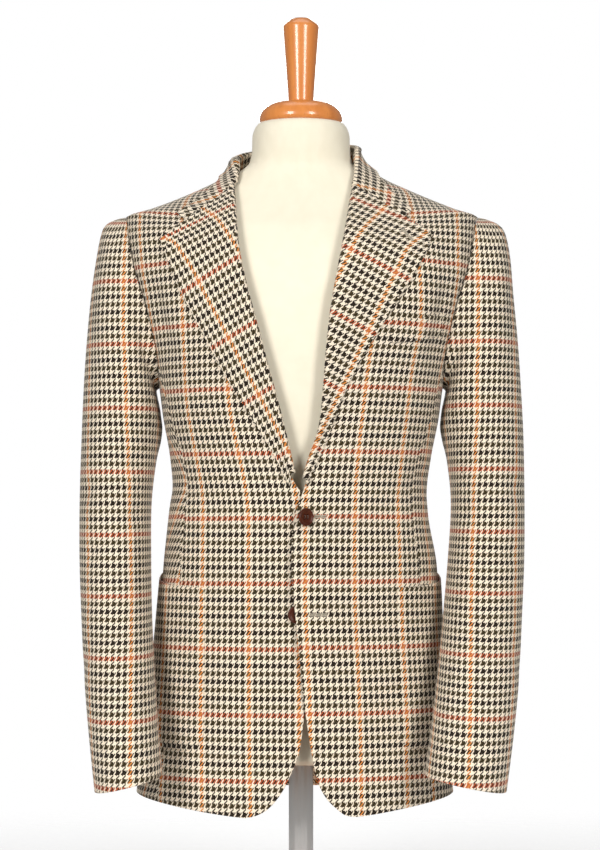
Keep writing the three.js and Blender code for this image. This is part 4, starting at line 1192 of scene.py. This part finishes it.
def turned(name, profile, z, y, around, material, slot):
    """Turned about a vertical axis, from a profile of radius and height."""
    profile = np.array(profile, float)
    inner = profile[1:-1]
    turn = np.linspace(0, TAU, around, endpoint=False)
    ring = np.stack([np.cos(turn), np.sin(turn), 0 * turn], axis=-1)
    points = inner[:, None, :1] * ring[None] + np.array([0, y, z]) + inner[:, None, 1:] * np.array([0, 0, 1])
    ends = np.array([[0, y, z + profile[0, 1]], [0, y, z + profile[-1, 1]]])
    path = np.concatenate([[0], np.cumsum(np.linalg.norm(np.diff(inner, axis=0), axis=-1))])
    maps = np.stack(np.broadcast_arrays(turn[None, :] * inner[:, :1].max(), path[:, None]), axis=-1)
    closed(name, points, ends, maps, [[0, 0], [0, path[-1]]], material, slot)


def form_torso(material):
    """Torso and neck of the dress form, covered in jersey."""
    z = FORM_HEIGHTS
    turn = np.linspace(-math.pi, math.pi, FORM_AROUND, endpoint=False)
    points = section_point(sections(FORM)(z[:, None]), turn[None, :], z[:, None])
    ends = np.array([[0, 0, z[0]], [0, NECK_MID_Y, z[-1]]])
    maps = np.stack(np.broadcast_arrays(turn[None, :] * FORM_MAP_RADIUS, z[:, None]), axis=-1)
    closed("form_torso_jersey", points, ends, maps, [[0, z[0]], [0, z[-1]]], material, "jersey")


def button(name, spec, ground, material, thread):
    """A four-hole button, its face towards -Y and then turned about the vertical, and its shank of thread."""
    profile = np.array(BUTTON_PROFILE)
    face_radii = np.linspace(BUTTON_FACE["radius"], BUTTON_FACE["centre"], BUTTON_FACE["rings"])
    radius = np.concatenate([[0.01], profile[1:-1, 0], face_radii[1:]])
    depth = np.concatenate([[0], profile[1:-1, 1], np.full(len(face_radii) - 1, BUTTON_FACE["depth"])])
    turn = np.linspace(0, TAU, BUTTON_AROUND, endpoint=False)
    x = radius[:, None] * np.cos(turn)
    z = radius[:, None] * np.sin(turn)
    y = -(depth[:, None] + 0 * x)
    spread = BUTTON_HOLE["spread"] / math.sqrt(2)
    inner_rim = BUTTON_HOLE["radius"] - BUTTON_HOLE["inner_round"]
    outer_rim = BUTTON_HOLE["radius"] + BUTTON_HOLE["outer_round"]
    for sx in (-1, 1):
        for sz in (-1, 1):
            away = np.hypot(x - sx * spread, z - sz * spread)
            y += BUTTON_HOLE["depth"] * (1 - smooth(away, inner_rim, outer_rim))
    points = np.stack([x, y, z], axis=-1)
    angle = math.radians(spec["turn"])
    c, d = math.cos(angle), math.sin(angle)
    twist = np.array([[c, -d, 0], [d, c, 0], [0, 0, 1]])
    centre = np.array([spec["x"], ground - spec["stand"], spec["z"]])
    placed = points @ twist.T + centre
    faces = [face[::-1] for face in grid_faces(len(radius), BUTTON_AROUND, True)]
    uv = np.stack([x, z], axis=-1).reshape(-1, 2)
    obj = new_object(name + "_disc", placed.reshape(-1, 3), faces, uv, material, "horn")
    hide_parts(name)
    lines = []
    for sx in (-1, 1):
        start = np.array([sx * spread, -1.4, -spread])
        middle = np.array([sx * spread, -3.5, 0])
        end = np.array([sx * spread, -1.4, spread])
        for shift in (-0.28, 0.28):
            offset = np.array([shift, 0, 0])
            bow = [start + offset, mix(start, middle, 0.55) + offset - [0, 0.5, 0], middle + offset,
                   mix(end, middle, 0.55) + offset - [0, 0.5, 0], end + offset]
            lines.append(np.array(bow) @ twist.T + centre)
    foot = np.array([spec["x"], ground - 0.6, spec["z"]])
    for turn_at in np.linspace(0, TAU, 9, endpoint=False):
        side = np.array([1.3 * math.cos(turn_at), 0, 1.3 * math.sin(turn_at)])
        top = centre + np.array([0, -0.2, 0]) + side * 0.9
        lines.append(np.array([foot + side * 1.15, mix(foot, top, 0.5) + side * 0.7, top]))
    cords(name + "_thread", lines, BUTTON_THREAD, thread)


def cords(name, lines, radius, material):
    """Short lengths of thread, each a thin tube with closed tapered ends."""
    sides = 6
    vertices = []
    faces = []
    turn = np.linspace(0, TAU, sides, endpoint=False)
    for line in lines:
        way = unit(np.gradient(line, axis=0))
        other = np.where(np.abs(way[:, :1]) > 0.8, [[0.0, 1, 0]], [[1.0, 0, 0]])
        a = unit(np.cross(way, other))
        b = np.cross(way, a)
        girth = radius * np.where(np.arange(len(line)) % (len(line) - 1) == 0, 0.45, 1)
        ring = line[:, None] + girth[:, None, None] * (a[:, None] * np.cos(turn)[:, None]
                                                       + b[:, None] * np.sin(turn)[:, None])
        first = len(vertices)
        vertices.extend(ring.reshape(-1, 3))
        faces.extend([[first + k for k in face] for face in grid_faces(len(line), sides, True)])
        faces.append([first + j for j in range(sides)][::-1])
        faces.append([first + (len(line) - 1) * sides + j for j in range(sides)])
    new_object(name, np.array(vertices), faces, None, material, "cloth")


def resample(line, normal, spacing):
    """Evenly spaced points of a line, with their normals and directions."""
    length = np.concatenate([[0], np.cumsum(np.linalg.norm(np.diff(line, axis=0), axis=-1))])
    at = np.arange(spacing / 2, length[-1], spacing)
    point = np.stack([np.interp(at, length, line[:, k]) for k in range(3)], axis=-1)
    out = unit(np.stack([np.interp(at, length, normal[:, k]) for k in range(3)], axis=-1))
    way = unit(np.gradient(point, axis=0)) if len(point) > 1 else out
    return point, out, way


def stitches(line, normal, spacing, length):
    """Short threads that dip into the cloth at both ends, along a line on its surface."""
    point, out, way = resample(line, normal, spacing)
    found = []
    for p, n, w in zip(point, out, way):
        jitter = RANDOM.normal(0, 0.06, 2)
        half = w * length * (0.5 + 0.4 * jitter[0])
        found.append(np.array([p - half - n * 0.15, p + n * (0.16 + 0.3 * jitter[1]), p + half - n * 0.15]))
    return found


def buttonhole(point, out, way, length):
    """Thread worked across both sides of a slit."""
    across = np.cross(out, way)
    found = []
    count = int(length / HOLE_WORK["spacing"])
    for i in range(count):
        p = point + way * (i / (count - 1) - 0.5) * length
        for side in (-1, 1):
            lean = RANDOM.normal(0, 0.08)
            inner = p + across * side * HOLE_WORK["slit"]
            outer = p + across * side * (HOLE_WORK["half_width"] + lean)
            middle = mix(inner, outer, 0.5) + out * 0.8
            found.append(np.array([inner + out * 0.35, middle, outer + out * 0.3]))
    return found


# Materials: sockets of a node tree take plain arithmetic.
class Wire:
    """A socket, or a number, that Python's operators join with Math nodes."""

    def __init__(self, tree, socket):
        self.tree = tree
        self.socket = socket

    def math(self, operation, *values, clamp=False):
        node = self.tree.add("ShaderNodeMath", {"operation": operation, "use_clamp": clamp}, *values)
        return node[0]

    def __add__(self, other):
        return self.math("ADD", self, other)

    __radd__ = __add__

    def __mul__(self, other):
        return self.math("MULTIPLY", self, other)

    __rmul__ = __mul__

    def __sub__(self, other):
        return self.math("SUBTRACT", self, other)

    def __rsub__(self, other):
        return self.math("SUBTRACT", other, self)

    def __truediv__(self, other):
        return self.math("DIVIDE", self, other)

    def __pow__(self, other):
        return self.math("POWER", self, other)

    def __lt__(self, other):
        return self.math("LESS_THAN", self, other)

    def __gt__(self, other):
        return self.math("GREATER_THAN", self, other)

    def __mod__(self, other):
        return self.math("FLOORED_MODULO", self, other)

    def floor(self):
        return self.math("FLOOR", self)

    def abs(self):
        return self.math("ABSOLUTE", self)

    def or_more(self, other):
        return self.math("MAXIMUM", self, other)

    def sine(self):
        return self.math("SINE", self)

    def clamped(self):
        return self.math("ADD", self, 0.0, clamp=True)


class Tree:
    """The node tree of one material."""

    def __init__(self, name, settings):
        self.material = bpy.data.materials.new(name)
        self.material.use_nodes = True
        self.nodes = self.material.node_tree.nodes
        self.links = self.material.node_tree.links
        self.shader = self.nodes["Principled BSDF"]
        self.output = self.nodes["Material Output"]
        for socket, value in settings.items():
            self.shader.inputs[socket].default_value = value

    def put(self, socket, value):
        if isinstance(value, Wire):
            self.links.new(value.socket, socket)
        else:
            socket.default_value = value

    def add(self, kind, settings, *values, **named):
        """A node of a type, its settings first and then its inputs, in order or by name."""
        node = self.nodes.new(kind)
        for key, value in settings.items():
            setattr(node, key, value)
        for i, value in enumerate(values):
            self.put(node.inputs[i], value)
        for key, value in named.items():
            self.put(node.inputs[key], value)
        return [Wire(self, socket) for socket in node.outputs]

    def blend(self, amount, low, high):
        """A colour between two, or one of them."""
        node = self.nodes.new("ShaderNodeMix")
        node.data_type = "RGBA"
        self.put(node.inputs[0], amount)
        for socket, value in zip(node.inputs[6:8], (low, high)):
            self.put(socket, value if isinstance(value, Wire) else (*value, 1))
        return Wire(self, node.outputs[2])

    def shade(self, colour, amount):
        """A colour times a number."""
        node = self.add("ShaderNodeVectorMath", {"operation": "SCALE"}, colour, Scale=amount)
        return node[0]

    def grain(self):
        """Grain map in millimetres, across and along."""
        place = self.add("ShaderNodeUVMap", {"uv_map": "grain"})[0]
        x, y, _ = self.add("ShaderNodeSeparateXYZ", {}, place)
        return x * (1 / MM), y * (1 / MM)

    def vector(self, x, y, z=0.0):
        return self.add("ShaderNodeCombineXYZ", {}, x, y, z)[0]

    def noise(self, vector, scale, detail, rough=0.5):
        found = self.add("ShaderNodeTexNoise", {"noise_dimensions": "3D"}, Vector=vector, Scale=scale,
                         Detail=detail, Roughness=rough)
        return found[0]

    def relief(self, height, distance, strength):
        bump = self.add("ShaderNodeBump", {}, Strength=strength, Distance=distance, Height=height)[0]
        self.links.new(bump.socket, self.shader.inputs["Normal"])

    def colour(self, value):
        self.links.new(value.socket, self.shader.inputs["Base Color"])

    def roughness(self, value):
        self.links.new(value.socket, self.shader.inputs["Roughness"])


# Colours, as linear shares of red, green and blue.
CREAM = (0.89, 0.80, 0.68)
CREAM_WARM = (0.77, 0.65, 0.48)
NEAR_BLACK = (0.012, 0.006, 0.003)
OLIVE = (0.066, 0.046, 0.016)
WARP_DARK = (0.020, 0.013, 0.006)
AMBER = (0.60, 0.21, 0.045)
RUST = (0.42, 0.085, 0.030)
HORN_DARK = (0.022, 0.004, 0.001)
HORN_BROWN = (0.085, 0.014, 0.003)
HORN_STREAK = (0.20, 0.055, 0.015)
JERSEY_SHADE = (0.78, 0.71, 0.55)
JERSEY_LIGHT = (0.90, 0.84, 0.69)
BEECH_DEEP = (0.50, 0.140, 0.024)
BEECH_LIGHT = (0.80, 0.30, 0.068)
BEECH_FLECK = (0.32, 0.085, 0.018)
STEEL = (0.62, 0.61, 0.59, 1)
FLOOR_SHADE = (0.86, 0.86, 0.86)
FLOOR_LIGHT = (0.90, 0.90, 0.90)
PALE_THREAD = (0.57, 0.50, 0.38)
TONAL_THREAD = (0.42, 0.38, 0.28)
BROWN_THREAD = (0.10, 0.05, 0.03)

# Dark threads are the thicker ones: their width and that of the light ones, in shares of the mean.
DARK_WIDTH = 1.12
LIGHT_WIDTH = 0.88


def uneven(threads):
    """Counts threads of two widths: the dark half of each check is wider than the light one."""
    check = (threads / CHECK_THREADS).floor()
    inside = threads % CHECK_THREADS
    half = CHECK_THREADS / 2
    light = (inside - half * DARK_WIDTH) / LIGHT_WIDTH + half
    return check * CHECK_THREADS + (inside / DARK_WIDTH).or_more(light)


def cloth_material():
    """Houndstooth in a 2/2 twill of four dark and four light threads, with a window of amber and rust."""
    tree = Tree("houndstooth_cloth", {"Roughness": 0.88, "Sheen Weight": 0.12, "Sheen Roughness": 0.5,
                                      "Specular IOR Level": 0.18})
    x, y = tree.grain()
    wobble = tree.noise(tree.vector(x, y), 0.02, 1) * 0.8
    across = uneven((x + wobble) / WARP_THREAD)
    along = uneven((y + wobble) / WEFT_THREAD)
    warp, weft = across.floor(), along.floor()
    warp_over = (warp - weft) % 4 < 2
    half = CHECK_THREADS / 2
    warp_dark = warp % CHECK_THREADS < half
    weft_dark = weft % CHECK_THREADS < half
    warp_check = (warp / CHECK_THREADS).floor() % WINDOW_CHECKS
    weft_check = (weft / CHECK_THREADS).floor() % WINDOW_CHECKS
    fibre = tree.noise(tree.vector(across * 0.9, along * 0.9), 1.0, 3, 0.6)
    light = tree.blend((fibre - 0.3) * 1.6, CREAM_WARM, CREAM)
    olive_row = weft_check % 2 > 0.5
    warp_colour = tree.blend(warp_dark, light, tree.blend(warp_check < 0.5, WARP_DARK, AMBER))
    dark_weft = tree.blend(weft_check < 0.5, tree.blend(olive_row, NEAR_BLACK, OLIVE), RUST)
    weft_colour = tree.blend(weft_dark, light, dark_weft)
    woven = tree.blend(warp_over, weft_colour, warp_colour)
    # Round profile of each thread: it lifts the bump, and below it also darkens the colour towards the
    # thread's edges.
    warp_round = 1 - ((across % 1 - 0.5).abs() * 2) ** 2
    weft_round = 1 - ((along % 1 - 0.5).abs() * 2) ** 2
    height = warp_over * warp_round + (1 - warp_over) * weft_round
    slub = tree.noise(tree.vector(warp * 0.37, along * 0.06, weft * 0.21), 1.0, 2)
    # The colour is scaled by the threads' round profile, so it is darker towards each thread's edges: painted
    # shade in the crevices of the weave. The slub noise is tone that varies at random along the threads.
    tree.colour(tree.shade(woven, 0.74 + height * 0.2 + slub * 0.22))
    tree.relief(height + fibre * 0.5, 0.00016, 0.5)
    tree.roughness(0.8 + fibre * 0.18)
    return tree.material


def thread_material(name, colour):
    tree = Tree(name, {"Roughness": 0.6, "Sheen Weight": 0.2, "Specular IOR Level": 0.3})
    place = tree.add("ShaderNodeTexCoord", {})[3]
    strands = tree.noise(place, 2600.0, 2)
    tree.colour(tree.blend(strands, [0.7 * v for v in colour], colour))
    tree.relief(strands, 0.0001, 0.6)
    return tree.material


def horn_material():
    """Dark red-brown horn, cloudy and polished."""
    tree = Tree("dark_horn", {"Coat Weight": 0.08, "Coat Roughness": 0.12, "Specular IOR Level": 0.22})
    place = tree.add("ShaderNodeTexCoord", {})[3]
    cloud = tree.noise(place, 190.0, 4, 0.6)
    streak_way = tree.add("ShaderNodeMapping", {}, place, Scale=(1.0, 1.0, 4.0))[0]
    streak = tree.noise(streak_way, 420.0, 3)
    dark = tree.blend(cloud, HORN_DARK, HORN_BROWN)
    tree.colour(tree.blend((streak - 0.5) * 1.6, dark, HORN_STREAK))
    tree.roughness(0.3 + cloud * 0.14)
    tree.relief(streak, 0.00005, 0.25)
    return tree.material


def jersey_material():
    """Cream cotton jersey: fine wales and courses of knit."""
    tree = Tree("cream_jersey", {"Sheen Weight": 0.25, "Sheen Roughness": 0.5, "Specular IOR Level": 0.2})
    x, y = tree.grain()
    wale = (x * (TAU / 1.1)).sine()
    course = (y * (TAU / 0.8) + wale.abs() * 1.5).sine()
    knit = wale * 0.5 + course * 0.3
    haze = tree.noise(tree.vector(x, y), 0.05, 3)
    tree.colour(tree.blend(knit * 0.25 + haze * 0.6, JERSEY_SHADE, JERSEY_LIGHT))
    tree.roughness(0.78 + haze * 0.15)
    tree.relief(knit, 0.00022, 0.35)
    return tree.material


def beech_material():
    """Orange-brown beech: long soft grain and short dark flecks under a glossy varnish."""
    tree = Tree("varnished_beech", {"Coat Weight": 0.65, "Coat Roughness": 0.09, "Specular IOR Level": 0.45})
    place = tree.add("ShaderNodeTexCoord", {})[3]
    long_way = tree.add("ShaderNodeMapping", {}, place, Scale=(1.0, 1.0, 0.09))[0]
    bands = tree.noise(long_way, 95.0, 4, 0.6)
    fleck_way = tree.add("ShaderNodeMapping", {}, place, Scale=(1.0, 1.0, 0.16))[0]
    flecks = (tree.noise(fleck_way, 900.0, 2) - 0.62) * 6
    wood = tree.blend(bands, BEECH_DEEP, BEECH_LIGHT)
    tree.colour(tree.blend(flecks.clamped() * 0.6, wood, BEECH_FLECK))
    tree.roughness(0.24 + bands * 0.14)
    tree.relief(bands + flecks.clamped(), 0.00008, 0.2)
    return tree.material


def steel_material():
    """Brushed steel tube: fine lines round it."""
    tree = Tree("brushed_steel", {"Metallic": 1.0, "Base Color": STEEL})
    place = tree.add("ShaderNodeTexCoord", {})[3]
    round_way = tree.add("ShaderNodeMapping", {}, place, Scale=(0.04, 0.04, 1.0))[0]
    lines = tree.noise(round_way, 1800.0, 3)
    tree.roughness(0.24 + lines * 0.18)
    tree.relief(lines, 0.00004, 0.3)
    return tree.material


def floor_material(edge):
    """Pale floor that fades to the white of the surroundings at its rim."""
    tree = Tree("pale_floor", {"Roughness": 0.9, "Specular IOR Level": 0.1})
    place = tree.add("ShaderNodeTexCoord", {})[3]
    x, y, _ = tree.add("ShaderNodeSeparateXYZ", {}, place)
    away = (x * x + y * y) ** 0.5
    speckle = tree.noise(place, 60.0, 3)
    tree.colour(tree.blend(speckle, FLOOR_SHADE, FLOOR_LIGHT))
    clear = tree.nodes.new("ShaderNodeBsdfTransparent")
    fade = ((away - edge * 0.2) / (edge * 0.5)).clamped()
    mixed = tree.nodes.new("ShaderNodeMixShader")
    tree.put(mixed.inputs[0], fade)
    tree.links.new(tree.shader.outputs[0], mixed.inputs[1])
    tree.links.new(clear.outputs[0], mixed.inputs[2])
    tree.links.new(mixed.outputs[0], tree.output.inputs["Surface"])
    return tree.material


def place_camera():
    data = bpy.data.cameras.new("photo_camera")
    camera = bpy.data.objects.new("photo_camera", data)
    bpy.context.scene.collection.objects.link(camera)
    way = Vector(CAMERA_AIM) - Vector(CAMERA_AT)
    camera.location = CAMERA_AT
    camera.rotation_mode = "QUATERNION"
    camera.rotation_quaternion = way.to_track_quat("-Z", "Y")
    data.sensor_width = CAMERA_SENSOR
    data.lens = CAMERA_SENSOR * way.length / FRAME_HEIGHT
    bpy.context.scene.camera = camera


def place_light(name, place, aim, size, power):
    data = bpy.data.lights.new(name, "AREA")
    data.shape = "RECTANGLE"
    data.size, data.size_y = size
    data.energy = power
    light = bpy.data.objects.new(name, data)
    light.location = place
    light.rotation_mode = "QUATERNION"
    light.rotation_quaternion = (Vector(aim) - Vector(place)).to_track_quat("-Z", "Y")
    bpy.context.scene.collection.objects.link(light)


def studio():
    """White surroundings that light softly, soft boxes in front, above and behind, and a pale floor."""
    world = bpy.data.worlds.new("studio")
    world.use_nodes = True
    nodes, links = world.node_tree.nodes, world.node_tree.links
    seen = nodes.new("ShaderNodeLightPath")
    strength = nodes.new("ShaderNodeMath")
    strength.operation = "MULTIPLY_ADD"
    strength.inputs[1].default_value = 1 - SOFT_LIGHT
    strength.inputs[2].default_value = SOFT_LIGHT
    links.new(seen.outputs["Is Camera Ray"], strength.inputs[0])
    nodes["Background"].inputs["Color"].default_value = (1, 1, 1, 1)
    links.new(strength.outputs[0], nodes["Background"].inputs["Strength"])
    bpy.context.scene.world = world
    bpy.context.scene.view_settings.view_transform = "Standard"
    for light in LIGHTS:
        place_light(*light)
    turn = np.linspace(0, TAU, FLOOR_AROUND, endpoint=False)
    ring = np.stack([FLOOR_RADIUS * np.cos(turn), FLOOR_RADIUS * np.sin(turn), 0 * turn], axis=-1)
    mesh = bpy.data.meshes.new("floor")
    mesh.from_pydata(ring.tolist(), [], [list(range(FLOOR_AROUND))])
    mesh.materials.append(floor_material(FLOOR_RADIUS))
    floor = bpy.data.objects.new("floor", mesh)
    floor.location = (0, 0, -FLOOR_SINK)
    bpy.context.scene.collection.objects.link(floor)


def surface_line(piece, x, z):
    """Nearest points of a piece's outer grid to places of the front view, with normals."""
    grid = piece.outer.reshape(-1, 3)
    normal = piece.normal.reshape(-1, 3)
    found = [int(np.argmin((grid[:, 0] - a) ** 2 + (grid[:, 2] - b) ** 2 + (grid[:, 1] > 0) * 1e6))
             for a, b in zip(x, z)]
    return grid[found], normal[found]


def front_stitches(piece, top):
    """Stitches along a front's edge, below a height."""
    line, normal = piece.outer[:, FRONT_STITCH_COLUMN], piece.normal[:, FRONT_STITCH_COLUMN]
    below = line[:, 2] < top
    return stitches(line[below], normal[below], **EDGE_STITCH)


def leaf_stitches(piece):
    """Stitches along the outer edge of a lapel or the collar."""
    place = LEAF_STITCH_ENDS, LEAF_STITCH_COLUMN
    return stitches(piece.outer[place], piece.normal[place], **EDGE_STITCH)


def pocket_stitches(piece):
    """Two lines of stitches along a patch pocket's sides and bottom."""
    found = []
    for inset in POCKET_STITCH_COLUMNS:
        line, normal = (
            np.concatenate([grid[:inset:-1, inset], grid[inset, inset:-inset], grid[inset:, -inset]])
            for grid in (piece.outer, piece.normal))
        found += stitches(line, normal, **POCKET_STITCH)
    return found


def sew(pieces, pale, tonal):
    """Stitching along edges, and the buttonholes."""
    edge_lines = []
    for word in ("left", "right"):
        edge_lines += front_stitches(pieces[f"front_{word}"], FRONT_STITCH_TOP[word])
        edge_lines += leaf_stitches(pieces[f"lapel_{word}"])
        edge_lines += pocket_stitches(pieces[f"hip_pocket_{word}"])
    edge_lines += leaf_stitches(pieces["collar"])
    cords("edge_stitches", edge_lines, EDGE_THREAD, tonal)
    holes = []
    for hole in BUTTONHOLES:
        point, out = surface_line(pieces[hole["piece"]], hole["x"], hole["z"])
        slit = point[1] - point[0]
        holes += buttonhole(point.mean(axis=0), unit(out.sum(axis=0)), unit(slit), np.linalg.norm(slit))
    cords("buttonholes", holes, HOLE_THREAD, pale)


def declare(pieces):
    """Works out what each piece rests on, and does nothing more with it."""
    rests = {"lapel": "front_left_cloth", "hip": "front_left_cloth", "breast": "front_left_cloth"}
    for name, piece in pieces.items():
        below = rests.get(name.split("_")[0], "form_torso_jersey")
        if name.endswith("_right"):
            below = below.replace("_left", "_right")


place_camera()
studio()
cloth = cloth_material()
pieces = {}
for word, side in (("left", 1), ("right", -1)):
    pieces[f"front_{word}"] = front(side, word, cloth)
    pieces[f"side_{word}"] = side_body(side, word, cloth)
    pieces[f"back_{word}"] = back(side, word, cloth)
    arm_folds = sleeve_folds(side)
    pieces[f"top_sleeve_{word}"] = sleeve(
        f"top_sleeve_{word}_cloth", side, word, -BACK_SLEEVE_STEP, FRONT_SLEEVE_STEP, arm_folds, cloth)
    pieces[f"under_sleeve_{word}"] = sleeve(
        f"under_sleeve_{word}_cloth", side, word, FRONT_SLEEVE_STEP, ARMHOLE_STEPS - BACK_SLEEVE_STEP,
        arm_folds, cloth)
    pieces[f"hip_pocket_{word}"] = hip_pocket(side, word, cloth)
pieces["lapel_left"] = lapel(1, LEFT_LAPEL, "left", cloth)
pieces["lapel_right"] = lapel(-1, RIGHT_LAPEL, "right", cloth)
pieces["collar"] = collar(cloth)
pieces["breast_pocket"] = breast_pocket(cloth)

form_torso(jersey_material())
beech = beech_material()
turned("form_cap_shape", CAP_PROFILE, CAP_Z, NECK_MID_Y, 128, beech, "beech")
turned("form_handle_shape", HANDLE_PROFILE, HANDLE_Z, NECK_MID_Y, 96, beech, "beech")
turned("form_base_shape", BASE_PROFILE, 0, 0, 160, beech, "beech")
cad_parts["form_stem"].data.materials[0] = steel_material()

pale_thread = thread_material("pale_thread", PALE_THREAD)
tonal_thread = thread_material("tonal_thread", TONAL_THREAD)
brown_thread = thread_material("brown_thread", BROWN_THREAD)
horn = horn_material()
upper_ground = float(face_point(np.array(UPPER_BUTTON["x"]), np.array(UPPER_BUTTON["z"]), -1)[1])
upper_ground -= float(left_lift(UPPER_BUTTON["z"]))
lower_ground = float(face_point(np.array(LOWER_BUTTON["x"]), np.array(LOWER_BUTTON["z"]), -1)[1])
button("button_upper", UPPER_BUTTON, upper_ground, horn, brown_thread)
button("button_lower", LOWER_BUTTON, lower_ground, horn, brown_thread)
sew(pieces, pale_thread, tonal_thread)
declare(pieces)
